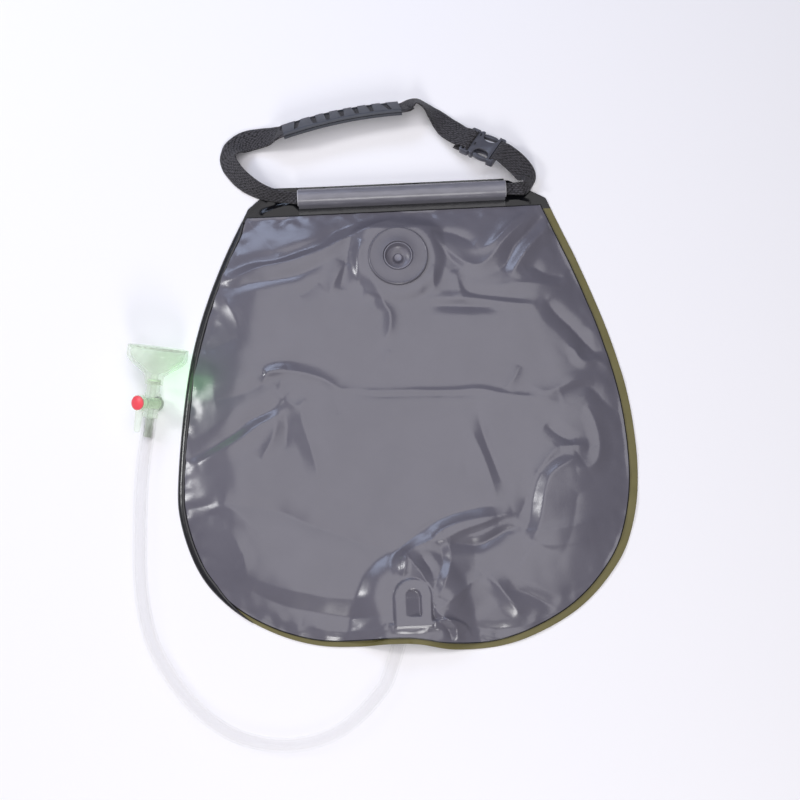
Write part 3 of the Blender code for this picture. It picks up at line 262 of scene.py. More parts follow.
bag_half_width = 0.227
bag_half_length = 0.2406
film_thickness = 0.0008
outlet_centre = np.array([-0.0024, -0.1958])
outlet_way = np.array([-0.40355, -0.91496])
hose_clear = 0.0148
plateau_radius = 0.030
plateau_run = 0.038
ridge_half_flat = 0.008
ridge_run = 0.026
film_grain = 0.0017
fine_reach = 0.075
header_weld = 0.2050
header_folds = (
    (2.6, 3.0, 5.0, ((-139, 212), (-126, 217), (-112, 221), (-101, 224))),
    (1.6, 3.0, 3.0, ((-134, 226), (-120, 228), (-101, 227))),
    (-0.2, 2.0, 2.0, ((-137, 209), (-120, 212), (-100, 213))),
    (1.4, 3.0, 4.0, ((114, 215), (124, 216), (140, 211))),
    (1.2, 3.0, 3.0, ((114, 232), (122, 230), (134, 222))),
)
header_left = (-0.556, 1.000)
header_right = (0.519, 0.989)
side_shares = (
    (-0.667, 0.911), (-0.790, 0.669), (-0.892, 0.409), (-0.957, 0.140), (-1.000, -0.230),
    (-0.994, -0.430), (-0.915, -0.645), (-0.779, -0.796), (-0.604, -0.899), (-0.413, -0.957),
    (-0.211, -0.970), (-0.010, -0.975), (0.150, -0.999), (0.352, -0.992), (0.526, -0.944),
    (0.704, -0.852), (0.846, -0.721), (0.941, -0.568), (0.995, -0.330), (0.985, -0.020),
    (0.924, 0.261), (0.834, 0.529), (0.745, 0.750), (0.681, 0.902),
)


def even_line(points, spacing, measured=None):
    """The line's points again, at an even spacing along it, measured on the first columns."""
    rows = np.asarray(points, float)
    steps = np.diff(rows[:, :measured], axis=0)
    runs = np.concatenate([[0], np.cumsum(np.linalg.norm(steps, axis=1))])
    wanted = np.linspace(0, runs[-1], max(2, round(runs[-1] / spacing)) + 1)
    return np.stack([np.interp(wanted, runs, column) for column in rows.T], axis=1)


def near_line(points, line, closed=False):
    """Each point's distance from the line, its share of the way along, and its side of it."""
    ends = np.roll(line, -1, axis=0) if closed else line[1:]
    starts = line if closed else line[:-1]
    best = np.full(len(points), np.inf)
    share = np.zeros(len(points))
    side = np.zeros(len(points))
    for i, (a, b) in enumerate(zip(starts, ends)):
        way = b - a
        off = points - a
        along = np.clip(off @ way / (way @ way), 0, 1)
        distance = np.linalg.norm(off - along[:, None] * way, axis=1)
        closer = distance < best
        best = np.where(closer, distance, best)
        share = np.where(closer, (i + along) / len(starts), share)
        side = np.where(closer, way[0] * off[:, 1] - way[1] * off[:, 0], side)
    return best, share, side


def coarse(loop):
    """The closed loop with a point every 6 mm, which is quicker to measure from."""
    return even_line(np.vstack([loop, loop[:1]]), 0.006)[:-1]


def is_inside(points, loop):
    """Whether each point is inside the closed loop."""
    crossed = np.zeros(len(points), int)
    x, y = points.T
    for (ax, ay), (bx, by) in zip(loop, np.roll(loop, -1, axis=0)):
        if ay != by:
            spans = (ay > y) != (by > y)
            crossed += spans & (x < ax + (y - ay) * (bx - ax) / (by - ay))
    return crossed % 2 == 1


def moved_in(loop, distance):
    """The closed loop with each point moved inwards."""
    ahead = np.roll(loop, -1, axis=0) - np.roll(loop, 1, axis=0)
    ahead /= np.linalg.norm(ahead, axis=1)[:, None]
    return loop + np.stack([-ahead[:, 1], ahead[:, 0]], axis=1) * distance


def eased(distance, flat, run):
    """1 within the flat part, then easing to 0 over the run beyond it."""
    t = np.clip(1 - (distance - flat) / run, 0, 1)
    return t * t * (3 - 2 * t)


def creased(points, lines):
    """What creases add to the height: each raises or sinks the film, steeply or gently beside it.

    A line is its rise, its reach to the left and to the right, and points, all in millimetres.
    A power of 1 at its end makes its sides even ramps.
    """
    found = np.zeros(len(points))
    for rise, left_reach, right_reach, line, *power in lines:
        route = even_line(smooth_line(line, 6), 2.0) / 1000
        distance, share, side = near_line(points, route)
        reach = np.where(side > 0, left_reach, right_reach) / 1000
        fade = np.clip(4.4 * share * (1 - share), 0.05, 1) ** 0.6
        ramp = np.clip(1 - distance / reach / 2, 0, 1)
        found += rise / 1000 * fade * ramp ** (power[0] if power else 1.6)
    return found


def unevenness(points, size, seed):
    """Smooth noise of -1 to 1 at each point, with bumps of about this size."""
    return np.array([noise.noise(Vector((x / size, y / size, seed))) for x, y in points]) * 1.6


def lift(points, spread=0.0):
    """1 over the outlet and the hose, easing to 0 beside them."""
    from_outlet = np.linalg.norm(points - outlet_centre, axis=1)
    ridge = np.array([outlet_centre, outlet_centre + outlet_way * bag_half_length / 2])
    from_ridge, _, _ = near_line(points, ridge)
    plateau = eased(from_outlet, plateau_radius, plateau_run + spread)
    return np.maximum(plateau, eased(from_ridge, ridge_half_flat, ridge_run + spread))


def film_object(name, loop, welt, height, hole, materials, finer=False):
    """A film over the loop, whose outer strip, as wide as the welt, takes the second material.

    It can be made of finer triangles round the outlet.
    """
    loop = even_line(np.vstack([loop, loop[:1]]), film_grain)[:-1]
    inner = moved_in(loop, welt)
    low, high = loop.min(axis=0), loop.max(axis=0)
    rows = []
    for j, y in enumerate(np.arange(low[1], high[1], film_grain * 0.866)):
        x = np.arange(low[0] + (j % 2) * film_grain / 2, high[0], film_grain)
        rows.append(np.stack([x, np.full_like(x, y)], axis=1))
    grid = np.vstack(rows)
    if finer:
        close = np.linalg.norm(grid - outlet_centre, axis=1) < fine_reach
        between = [(film_grain / 2, 0), (film_grain / 4, 0.433 * film_grain)]
        grid = np.vstack([grid] + [grid[close] + shift for shift in between])
    grid = grid[is_inside(grid, moved_in(loop, welt + film_grain / 2))]
    points = [loop, inner]
    edges = []
    first = 0
    for ring in (loop, inner):
        edges += [(first + i, first + (i + 1) % len(ring)) for i in range(len(ring))]
        first += len(ring)
    if hole:
        centre, radius = np.array(hole[:2]), hole[2]
        grid = grid[np.linalg.norm(grid - centre, axis=1) > radius + film_grain / 2]
        turns = np.linspace(0, math.tau, 64, endpoint=False)
        points.append(centre + radius * np.stack([np.cos(turns), np.sin(turns)], axis=1))
        edges += [(first + i, first + (i + 1) % 64) for i in range(64)]
    points = [Vector(point) for point in np.vstack(points + [grid])]
    flat, _, faces, *_ = delaunay_2d_cdt(points, edges, [], 1, 1e-7)
    flat = np.array([tuple(point) for point in flat])
    faces = np.array([tuple(face) for face in faces])
    middles = flat[faces].mean(axis=1)
    if hole:
        kept = np.linalg.norm(middles - centre, axis=1) > radius * 0.999
        faces, middles = faces[kept], middles[kept]
    tops = height(flat)
    upper = np.column_stack([flat, tops])
    lower = np.column_stack([flat, tops - film_thickness])
    count = len(flat)
    sides = {}
    for face in faces:
        for pair in zip(face, np.roll(face, -1)):
            sides[pair] = True
    rim = [(a, a + count, b + count, b) for a, b in sides if (b, a) not in sides]
    every = [tuple(face) for face in faces] + [tuple(face[::-1] + count) for face in faces] + rim
    made = mesh_from(name, np.vstack([upper, lower]), every, materials[0])
    made.data.materials.append(materials[1])
    at_edge = ~is_inside(middles, inner)
    slots = np.concatenate([at_edge, at_edge, np.ones(len(rim), bool)]).astype(int)
    made.data.polygons.foreach_set("material_index", slots)
    return made


def bag_outline():
    """The bag's outline, from its shares of the half width and half length."""
    sides = smooth_line(side_shares, 10)
    shares = np.vstack([header_left, sides, header_right])
    return shares * (bag_half_width, bag_half_length)


def back_top(points):
    """The back film lies on the floor and over the hose, ripples a little and folds at its ears."""
    from_edge, _, _ = near_line(points, coarse(back_loop), closed=True)
    ripple = 0.0006 * (1 + unevenness(points, 0.030, 3.0)) * eased(from_edge, 0.004, 0.02)
    calm = eased(np.abs(points[:, 0] - 0.007), 0.106, 0.003)
    head = creased(points, header_folds) * (1 - calm)
    return film_thickness + hose_clear * lift(points) + ripple + np.maximum(head, -0.0002)


# Olive calendered PVC with a fine matt grain, black and glossy above the header weld.
olive_film, tree, shader = start_material("olive PVC film, calendered matt", "8a8455", 0.55)
tint = add_tint(tree, shader, noise_over(tree, 45.0, 4.0), "59532a", "726b3f")
place = add_node(tree, "TexCoord")
axes = add_node(tree, "SeparateXYZ", Vector=place.outputs["Object"])
weld = {"From_Min": header_weld, "From_Max": header_weld + 0.001}
head = add_node(tree, "MapRange", Value=axes.outputs["Y"], **weld).outputs["Result"]
dark = add_node(tree, "Mix", {"data_type": "RGBA"}, n0=head, n6=tint, n7=linear_rgb("101014"))
tree.links.new(dark.outputs[2], shader.inputs["Base Color"])
add_range(tree, shader, "Roughness", head, 0.55, 0.14)
add_range(tree, shader, "Specular IOR Level", head, 0.5, 0.3)
add_relief(tree, shader, noise_over(tree, 1400.0, 2.0), 0.25, 0.0002)


back_loop = bag_outline()
hem_cut = 0.0006
back_film = film_object("back_film", back_loop, hem_cut, back_top, (), (olive_film, olive_film))
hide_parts("back_panel")
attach(back_film, "bag")

# Front film
# Grey PVC film, calendered to a soft gloss and welded to the back film all round. Its creases are
# lines on the bag, each raising or sinking the sheet beside it, over a gently swollen form.

front_hem = 0.005
weld_width = 0.0011
front_shift = -0.003
front_top_edge = 0.2095
film_gap = 0.0003
film_slack = 0.0012
crown = 0.0115
crown_run = 0.060
valve_place = np.array([0.0, 0.156])
valve_radius = 0.0305
valve_lift = 0.0162
neck_hole = 0.0173
outlet_plate_size = (0.035, 0.045)
outlet_window_size = (0.0135, 0.024)
folds = (
    # rise, reach to the left and to the right, then points, all in millimetres on the bag
    # upper left, and down the left edge
    (3.8, 6.8, 6.8, (
        (-179, 140), (-161, 145), (-140, 152), (-110, 156), (-79, 166), (-53, 179), (-22, 192),
        (4, 202),
    )),
    (-2, 6.7, 6.7, (
        (-173, 151), (-150, 158), (-125, 159), (-99, 167), (-79, 173), (-63, 189), (-47, 193),
    )),
    (-2, 5.1, 5.1, ((-179, 135), (-165, 134), (-151, 137), (-125, 139), (-100, 143), (-74, 154))),
    (-0.9, 8.3, 8.3, ((-149, 199), (-134, 181), (-120, 164))),
    (0.9, 5.1, 5.1, ((-179, 127), (-173, 114), (-166, 100), (-164, 89))),
    (-0.4, 6.7, 6.7, ((-197, 82), (-182, 97))),
    (-0.9, 7.5, 7.5, ((-200, 66), (-182, 74), (-164, 80))),
    # left of the valve and under it
    (1.8, 5.9, 5.9, ((-36, 177), (-41, 155), (-42, 129))),
    (2, 6.7, 6.7, ((-54, 154), (-62, 140), (-71, 120))),
    (-1.9, 5.9, 5.9, ((-50, 166), (-55, 145), (-60, 124))),
    (-1.1, 6.7, 6.7, ((-80, 133), (-101, 119))),
    (2.4, 5.9, 5.9, ((-38, 121), (-22, 117), (-16, 106), (-11, 96), (-12, 80), (-17, 70))),
    (0.8, 5.1, 5.1, ((-12, 59), (-18, 44))),
    # the peak at the left and the rays below it
    (1.5, 4.3, 4.3, ((-141, 39), (-140, 34), (-135, 41), (-116, 45))),
    (-2, 8.3, 8.3, ((-189, 16), (-164, 20), (-139, 30), (-124, 25))),
    (1.2, 4.3, 4.3, ((-121, 14), (-108, 5), (-97, 12))),
    (1.8, 6.7, 6.7, ((-103, 7), (-103, -9), (-98, -29), (-92, -50), (-88, -70))),
    (1.8, 6.7, 6.7, ((-127, -7), (-133, -27), (-144, -47))),
    (-1.5, 6.7, 6.7, ((-120, 2), (-119, -18), (-121, -38))),
    (-0.6, 5.9, 5.9, ((-70, 10), (-67, -5))),
    # upper right, and right of the valve
    (2.4, 7.5, 7.5, ((142, 206), (121, 191), (105, 175), (94, 165), (81, 160))),
    (2.4, 6.7, 6.7, ((137, 197), (109, 170), (93, 151), (80, 144), (67, 148), (53, 159), (43, 173))),
    (-2, 5.9, 5.9, ((34, 183), (54, 181), (69, 174), (79, 166))),
    (-1.8, 5.9, 5.9, ((36, 182), (41, 170), (48, 159), (57, 148), (65, 142))),
    (-2, 6.7, 6.7, ((128, 137), (136, 140), (148, 133), (168, 128))),
    (1.5, 9.5, 9.5, ((101, 122), (132, 122), (162, 118))),
    (2, 5.1, 5.1, ((25, 110), (40, 110), (70, 109), (95, 105), (130, 99), (140, 98))),
    (-2, 5.9, 5.9, ((61, 129), (71, 115), (101, 109), (126, 105))),
    (-2.4, 5.9, 5.9, ((28, 104), (60, 102), (100, 99))),
    (1.5, 5.1, 5.1, ((34, 146), (35, 130), (34, 115))),
    (1.5, 5.1, 5.1, ((55, 140), (59, 125), (62, 111))),
    # down the right side
    (-4.1, 7.9, 7.9, ((146, 104), (155, 91), (169, 77), (183, 60), (197, 44))),
    (2.5, 5.1, 5.1, ((165, 56), (172, 50), (176, 42), (184, 38), (193, 40), (201, 36), (207, 28))),
    (1.5, 5.9, 5.9, ((100, 14), (108, 22), (116, 37))),
    (2, 7.5, 7.5, ((125, 16), (139, 8), (154, 12), (170, 19), (190, 20))),
    (-2.4, 7.5, 7.5, ((154, 6), (179, 13), (189, 8), (198, -3), (212, -15))),
    (2.5, 6.7, 6.7, (
        (176, -7), (182, -12), (188, -28), (190, -48), (186, -63), (178, -70), (163, -72),
    )),
    (2.4, 5.1, 5.1, ((150, -48), (165, -48), (178, -49))),
    (-2.4, 6.7, 6.7, ((137, -25), (151, -36), (165, -45))),
    (2, 5.9, 5.9, ((150, -48), (140, -56), (129, -70), (120, -85), (115, -100))),
    # right of the middle
    (-1.8, 5.9, 5.9, ((71, -7), (77, -37), (85, -63), (92, -83))),
    (1.5, 5.9, 5.9, ((63, -27), (76, -60), (84, -98))),
    (-0.7, 5.1, 5.1, ((56, -57), (57, -77))),
    # lower left
    (-0.7, 5.1, 5.1, ((-217, -91), (-201, -89), (-188, -87))),
    (1.1, 7.4, 7.4, ((-201, -96), (-184, -92), (-170, -98), (-153, -114), (-138, -132))),
    (-0.8, 5.9, 5.9, ((-201, -99), (-191, -99), (-184, -105), (-182, -115))),
    (-0.5, 8, 8, ((-202, -129), (-192, -146), (-183, -162))),
    (0.8, 6.7, 6.7, ((-179, -115), (-170, -130), (-164, -145), (-162, -165))),
    (-2.4, 9.3, 9.3, (
        (-184, -87), (-162, -92), (-128, -100), (-99, -114), (-70, -125), (-46, -136), (-13, -145),
    )),
    # lower right
    (1.5, 8.4, 8.4, ((114, -144), (143, -145), (173, -142))),
    (1.8, 6.7, 6.7, ((73, -171), (87, -191), (100, -211))),
    (-2.1, 6.3, 6.3, ((87, -185), (111, -192), (136, -206))),
    (1, 4.2, 4.2, ((60, -226), (79, -231), (99, -230))),
    (-1, 4.2, 4.2, ((51, -220), (75, -223), (99, -222))),
    # the long crease across the middle
    (2.5, 6.4, 4.8, ((-141, 40), (-113, 41), (-84, 33), (-64, 21), (-52, 20))),
    (1.8, 3.5, 9.6, ((-58, 21), (-30, 17), (5, 16), (45, 14), (75, 14), (99, 8), (134, 2), (155, -3))),
    (-1.4, 9.6, 3.2, ((-53, 16), (-25, 12), (15, 11), (55, 9), (84, 8))),
    # the trough that climbs to it from the left edge
    (-3.6, 9, 5, (
        (-219, -43), (-210, -39), (-190, -30), (-170, -18), (-155, -6), (-134, 3), (-121, 14),
    )),
    (2, 4, 9, ((-209, -46), (-183, -34), (-159, -22), (-143, -11), (-121, 0))),
    # the pair at the upper right corner
    (-2.6, 5, 5.5, ((150, 198), (136, 181), (119, 164), (110, 146), (102, 138))),
    (3.6, 7, 5, ((163, 193), (149, 178), (135, 163), (123, 147), (113, 130))),
    # the bright face right of the outlet, and what lies round it
    (5.2, 16, 5.2, (
        (169, -58), (156, -65), (145, -71), (137, -79), (132, -92), (129, -106), (126, -119),
        (121, -132), (116, -141),
    ), 1),
    (-1.9, 6.4, 8, ((129, -72), (119, -86), (114, -99), (108, -111), (104, -119))),
    (2, 5, 10, ((105, -132), (130, -131), (154, -128), (180, -122))),
    # the crescent over the outlet
    (4.4, 6, 14, (
        (-12, -170), (-12, -158), (-9, -149), (1, -142), (17, -136), (28, -127), (45, -120),
        (65, -116), (85, -114),
    )),
    (-1, 3, 3, (
        (-21, -168), (-22, -155), (-14, -143), (0, -132), (18, -119), (40, -110), (66, -105),
        (85, -104),
    )),
    (3, 9, 3.5, ((19, -137), (33, -134), (49, -127), (69, -121), (87, -115), (100, -112))),
    (-4, 4, 7, ((36, -138), (52, -140), (66, -140), (80, -134), (93, -128), (107, -127))),
    # the rays that run down to the outlet
    (4.2, 12, 4, ((32, -134), (36, -147), (35, -163), (29, -179), (22, -193)), 1),
    (3.2, 6.5, 8, ((-8, -145), (-1, -157), (8, -170), (14, -185), (18, -199))),
    (1.8, 3, 3, ((-8, -148), (-8, -159), (-11, -170))),
    (-2.2, 5, 5, ((7, -150), (16, -164), (19, -176))),
    # the broad swell left of the outlet
    (2.8, 26, 18, ((-176, -151), (-147, -168), (-111, -179), (-73, -187), (-42, -188), (-20, -183))),
    (-2.6, 12, 10, ((-159, -175), (-126, -191), (-92, -200), (-59, -206), (-23, -206))),
    (1.8, 8, 8, ((-112, -210), (-69, -219), (-24, -220))),
    # round the outlet's foot
    (4.4, 1.6, 3.8, (
        (-28, -216), (-12, -218), (3, -218), (17, -215), (30, -214), (43, -217), (50, -224),
    ), 1),
    (2.6, 4, 3, ((18, -199), (21, -207), (30, -213), (38, -221), (39, -234))),
    (-2.4, 3, 3, ((14, -204), (21, -214), (30, -222), (33, -232))),
    (2.6, 6, 12, ((21, -205), (33, -196), (49, -183), (66, -170))),
    (1.8, 9.6, 6.4, ((66, -170), (80, -182), (93, -198), (102, -212))),
    (-2.2, 4, 4, ((11, -218), (-3, -217), (-18, -215))),
)


def below_line(loop, height):
    """The part of the closed loop under this height, closed by a straight edge."""
    found = []
    for a, b in zip(loop, np.roll(loop, -1, axis=0)):
        if a[1] <= height:
            found.append(a)
        if (a[1] <= height) != (b[1] <= height):
            found.append(a + (b - a) * (height - a[1]) / (b[1] - a[1]))
    return np.array(found)


def soft_max(a, b, blend=0.0012):
    """The larger of two heights, with a rounded change from one to the other."""
    return (a + b + np.sqrt((a - b) ** 2 + blend**2)) / 2


def in_tombstone(points, size):
    """How far inside an outline with a round top and a square foot each point lies."""
    half, shoulder = size[0] / 2, size[1] / 2 - size[0] / 2
    x, y = (points - outlet_centre).T
    block = np.minimum(half - np.abs(x), np.minimum(y + size[1] / 2, shoulder - y))
    dome = half - np.hypot(x, y - shoulder)
    return np.maximum(block, np.where(y > shoulder, dome, np.minimum(dome, block)))


def front_top(points):
    """The film swells from its weld, lies over the outlet and the valve, and is creased."""
    from_edge, _, _ = near_line(points, coarse(front_loop), closed=True)
    seat = film_thickness + film_gap + (hose_clear + film_slack) * lift(points, 0.0135)
    loose = seat + np.minimum(from_edge, crown_run) * crown / crown_run / 4
    swell = np.sin(math.pi / 2 * np.minimum(1, from_edge / crown_run))
    swollen = film_thickness + film_gap + crown * swell
    from_valve = np.linalg.norm(points - valve_place, axis=1)
    valve = valve_lift * eased(from_valve, valve_radius + 0.005, plateau_run)
    valve = valve * np.minimum(1, from_edge / 0.022)
    height = soft_max(soft_max(loose, swollen), valve)
    plate = 0.0030 * eased(-in_tombstone(points, outlet_plate_size), -0.0008, 0.0030)
    across = (points[:, 0] - outlet_centre[0]) / outlet_window_size[0] * 2
    dip = 0.0024 + 0.0022 * np.clip(across, -1, 1)
    window = dip * eased(-in_tombstone(points, outlet_window_size), -0.0002, 0.0014)
    height = height + plate - window
    calm = eased(from_valve, valve_radius + 0.001, 0.010)
    calm = np.maximum(calm, eased(-in_tombstone(points, outlet_plate_size), -0.001, 0.004))
    free = (1 - calm) * (1 - eased(from_edge, 0.0, 0.004))
    crumple = creased(points, folds)
    crumple += 0.0012 * unevenness(points, 0.060, 1.0) + 0.00015 * unevenness(points, 0.016, 2.0)
    ripple = 0.0005 * unevenness(points, 0.012, 5.0) * eased(from_edge, 0.006, 0.014)
    return height + film_thickness + crumple * free + ripple * (1 - calm)


# Grey calendered PVC: a soft gloss that is uneven in the larger creases, over a fine grain.
grey_film, tree, shader = start_material("grey PVC film, calendered semi-gloss", "64626d", 0.26, ior=1.53)
cloud = noise_over(tree, 22.0, 5.0)
add_tint(tree, shader, cloud, "5d5b66", "6a6873")
add_range(tree, shader, "Roughness", cloud, 0.17, 0.27)
add_relief(tree, shader, noise_over(tree, 900.0, 3.0), 0.12, 0.0002)

# A thin black line along the front film's welded edge.
weld_line, tree, shader = start_material("welded PVC edge, black", "1c1b1f", 0.35)
add_relief(tree, shader, noise_over(tree, 500.0, 2.0), 0.3, 0.0003)

front_loop = moved_in(bag_outline(), front_hem) + (front_shift, 0)
front_loop = below_line(front_loop, front_top_edge)
valve_hole = (*valve_place, neck_hole)
front_looks = (grey_film, weld_line)
front_film = film_object("front_film", front_loop, weld_width, front_top, valve_hole, front_looks, True)
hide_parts("front_panel")
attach(front_film, "bag")

# Side binding
# The films' black welded edge, folded over along the left side into a glossy roll. It is a
# lofted strip that covers the weld there and thins out near the foot.

binding_width = 0.0072
binding_height = 0.0021
binding_climb = 0.0022
binding_overhang = 0.0004
binding_span = (0.02, 0.30)

binding_pvc, tree, shader = start_material("black PVC binding, folded and glossy", "232327", 0.24)
add_relief(tree, shader, noise_over(tree, 120.0, 3.0), 0.3, 0.0008)


def strip_mesh(name, rows, material, closed=False):
    """A surface through rows of points, each row as long as the next."""
    rows = np.asarray(rows)
    count, width = rows.shape[:2]
    faces = []
    for i in range(count - 1):
        for k in range(width if closed else width - 1):
            a, b = i * width + k, i * width + (k + 1) % width
            faces.append((a, b, b + width, a + width))
    if closed:
        faces += [tuple(range(width))[::-1], tuple((count - 1) * width + k for k in range(width))]
    return mesh_from(name, rows.reshape(-1, 3), faces, material)


side = bag_outline()
side = even_line(side[2 : len(side) // 3], 0.003)
side = side[int(binding_span[0] * len(side)) :]
ahead = np.gradient(side, axis=0)
ahead /= np.linalg.norm(ahead, axis=1)[:, None]
inward = np.stack([-ahead[:, 1], ahead[:, 0]], axis=1)
rows = []
for i, (point, way) in enumerate(zip(side, inward)):
    share = i / (len(side) - 1)
    taper = (1 - eased(share, 0.0, 0.04) * 0.4) * min(1, (1 - share) / 0.12 + 0.05)
    width = binding_width * taper
    row = []
    for turn in np.linspace(0, math.pi, 9):
        out = (1 - math.cos(turn)) / 2
        rise = binding_height * math.sin(turn) + binding_climb * out * min(1, width / 0.007)
        x, y = point + way * (width * out - binding_overhang)
        row.append((x, y, film_thickness + rise))
    rows.append(row + [(x, y, film_thickness + 0.0001) for x, y, _ in row[::-1]])
binding = strip_mesh("side_binding", rows, binding_pvc, closed=True)
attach(binding, "bag")

# Rod sleeve
# A strip of film, arched over the rod and welded down on both sides of it. The arch is satin grey, and the
# welded tabs are black and glossy; the black of the tab below the rod is partly painted shade, for the
# shade between rod and front film. It is an outline drawn out along the rod.

rod_middle = Vector((0.007, 0.2256, 0.0091))
rod_radius = 0.0080
rod_bore = 0.0065
rod_half = 0.107
sleeve_half = 0.106
sleeve_film_thickness = 0.0006
sleeve_tabs = (-0.0156, 0.0144)

sleeve_grey, tree, shader = start_material("grey sleeve PVC, satin", "7a7982", 0.3, ior=1.53)
streaks = noise_over(tree, 240.0, 4.0, drawn_out=0.25)
add_tint(tree, shader, streaks, "66656e", "868590")
add_relief(tree, shader, streaks, 0.25, 0.0006)

tab_top = film_thickness + film_gap + sleeve_film_thickness
arch_radius = rod_radius + film_gap + sleeve_film_thickness
over = []
for share in np.linspace(0, 1, 5):
    over.append((sleeve_tabs[0] + share * (-arch_radius - sleeve_tabs[0]), tab_top))
for turn in np.linspace(math.pi, 0, 29):
    over.append((arch_radius * math.cos(turn), rod_middle.z + arch_radius * math.sin(turn)))
for share in np.linspace(0, 1, 5):
    over.append((arch_radius + share * (sleeve_tabs[1] - arch_radius), tab_top))
under = []
for y, z in over:
    reach = math.hypot(y, z - rod_middle.z)
    shrink = (reach - sleeve_film_thickness) / reach if z > rod_middle.z else 1
    drop = sleeve_film_thickness if abs(y) > arch_radius or z <= rod_middle.z else 0
    if drop and abs(y) <= arch_radius:
        y = y * (arch_radius - sleeve_film_thickness) / arch_radius
    under.append((y * shrink if z > rod_middle.z else y, rod_middle.z + (z - rod_middle.z) * shrink - drop))
outline = over + under[::-1]
rows = []
for x in np.arange(-sleeve_half, sleeve_half + 0.001, 0.004):
    sag = 0.0002 * math.sin(x * 90) + 0.00012 * math.sin(x * 310)
    rows.append([(rod_middle.x + x, rod_middle.y + y, z + max(0, sag) * (z > tab_top)) for y, z in outline])
sleeve = strip_mesh("rod_sleeve", rows, sleeve_grey, closed=True)
# The flat tabs take the black PVC; below the rod this black is partly painted shade.
sleeve.data.materials.append(binding_pvc)
for face in sleeve.data.polygons:
    if len(face.vertices) == 4 and face.center.z < 0.003:
        face.material_index = 1
sleeve.data.set_sharp_from_angle(angle=math.radians(50))
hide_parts("hem_sleeve")
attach(sleeve, "bag")

# Hanging rod
# Extruded plastic tube, cut square, that shows at both of the sleeve's mouths. Its outline is
# spun about its axis and its edges are rounded.

rod_plastic, tree, shader = start_material("grey rod plastic, extruded", "aeadb4", 0.35)
add_relief(tree, shader, noise_over(tree, 900.0, 2.0, drawn_out=0.05), 0.2, 0.0003)


def mesh_of(form, name):
    """The edited form as a mesh; the form is thrown away."""
    mesh = bpy.data.meshes.new(name)
    form.to_mesh(mesh)
    form.free()
    return mesh


def turned(name, profile, steps, material, place, ease=0.0003):
    """A closed profile of (radius, height) points spun about Z, its sharp edges eased."""
    form = bmesh.new()
    corners = [form.verts.new((radius, 0, height)) for radius, height in profile]
    edges = [form.edges.new((a, b)) for a, b in zip(corners, corners[1:] + corners[:1])]
    spun = {"axis": (0, 0, 1), "cent": (0, 0, 0), "steps": steps, "angle": math.tau}
    bmesh.ops.spin(form, geom=corners + edges, use_merge=True, **spun)
    bmesh.ops.remove_doubles(form, verts=form.verts, dist=1e-6)
    loose = [edge for edge in form.edges if not edge.link_faces]
    bmesh.ops.delete(form, geom=loose, context="EDGES")
    return finished(form, name, material, place, ease)


def finished(form, name, material, place=Matrix(), ease=0.0003):
    """An object from this form, with its sharp edges rounded, set in place."""
    bmesh.ops.recalc_face_normals(form, faces=form.faces)
    if ease:
        inner = [edge for edge in form.edges if len(edge.link_faces) == 2]
        sharp = [edge for edge in inner if edge.calc_face_angle() > math.radians(32)]
        rounding = {"segments": 2, "profile": 0.5, "affect": "EDGES", "clamp_overlap": True}
        bmesh.ops.bevel(form, geom=sharp, offset=ease, **rounding)
    mesh = mesh_of(form, name)
    mesh.transform(place)
    mesh.shade_smooth()
    mesh.set_sharp_from_angle(angle=math.radians(40))
    mesh.materials.append(material)
    return put_in_scene(name, mesh)


rod_place = Matrix.Translation(rod_middle) @ Matrix.Rotation(math.pi / 2, 4, "Y")
rod_profile = [(rod_bore, -rod_half), (rod_radius, -rod_half)]
rod_profile += [(rod_radius, rod_half), (rod_bore, rod_half)]
rod = turned("rod", rod_profile, 64, rod_plastic, rod_place)
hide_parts("hanging_rod")
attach(rod, "bag")

# Fill valve and stopper
# Soft PVC mouldings in the film's grey: a plate with two raised lines and a neck, and the cup that plugs
# it. They are turned.

valve_top = 0.0193
neck_radius = 0.0150
neck_outer = 0.0170
neck_depth = 0.0125
cup_radius = 0.0147
cup_bore = 0.0131
cup_floor = -0.0115

valve_pvc, tree, shader = start_material("grey valve PVC, moulded", "63616c", 0.36, ior=1.53)
add_tint(tree, shader, noise_over(tree, 60.0, 4.0), "5c5a65", "686670")
add_relief(tree, shader, noise_over(tree, 1600.0, 2.0), 0.15, 0.0002)

# Painted light: the stopper is the plate's own grey PVC, coloured lighter here to offset the shade inside
# the neck.
shade_lightened_cup_pvc, tree, shader = start_material("grey stopper PVC, painted lighter against shade", "787682", 0.36, ior=1.53)
add_relief(tree, shader, noise_over(tree, 140.0, 3.0), 0.2, 0.0005)

valve_frame = Matrix.Translation((valve_place[0], valve_place[1], valve_top))
rim = 0.0005
valve_profile = [(neck_radius, -0.0004), (neck_radius + 0.0005, rim), (neck_radius + 0.0018, 0)]
valve_profile += [(valve_radius - 0.0022, 0), (valve_radius - 0.0014, rim), (valve_radius, -0.0004)]
valve_profile += [(valve_radius, -0.002), (neck_outer, -0.002), (neck_outer, -neck_depth)]
valve_profile += [(neck_radius, -neck_depth)]
valve = turned("valve_plate", valve_profile, 128, valve_pvc, valve_frame, 0.0002)
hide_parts("fill_valve")
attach(valve, "bag")

cup_profile = [(0, -0.0122), (0.0115, -0.0122), (cup_radius, -0.0114), (cup_radius, -0.0007)]
cup_profile += [(cup_radius - 0.0007, 0), (cup_bore + 0.0003, 0), (cup_bore, -0.0008)]
cup_profile += [(cup_bore - 0.0006, cup_floor + 0.0028), (cup_bore - 0.0032, cup_floor + 0.0006)]
cup_profile += [(0.0058, cup_floor), (0.0045, cup_floor + 0.0012), (0.0042, cup_floor + 0.0040)]
cup_profile += [(0.0034, cup_floor + 0.0048), (0.0016, cup_floor + 0.0044), (0, cup_floor + 0.0042)]
cup = turned("stopper_cup", cup_profile, 96, shade_lightened_cup_pvc, valve_frame, 0.0)
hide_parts("fill_stopper")
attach(cup, "stopper")

# Outlet
# A dark moulding, welded to the back film. Only its spout shows at the back, where it enters the
# hose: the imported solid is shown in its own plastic.

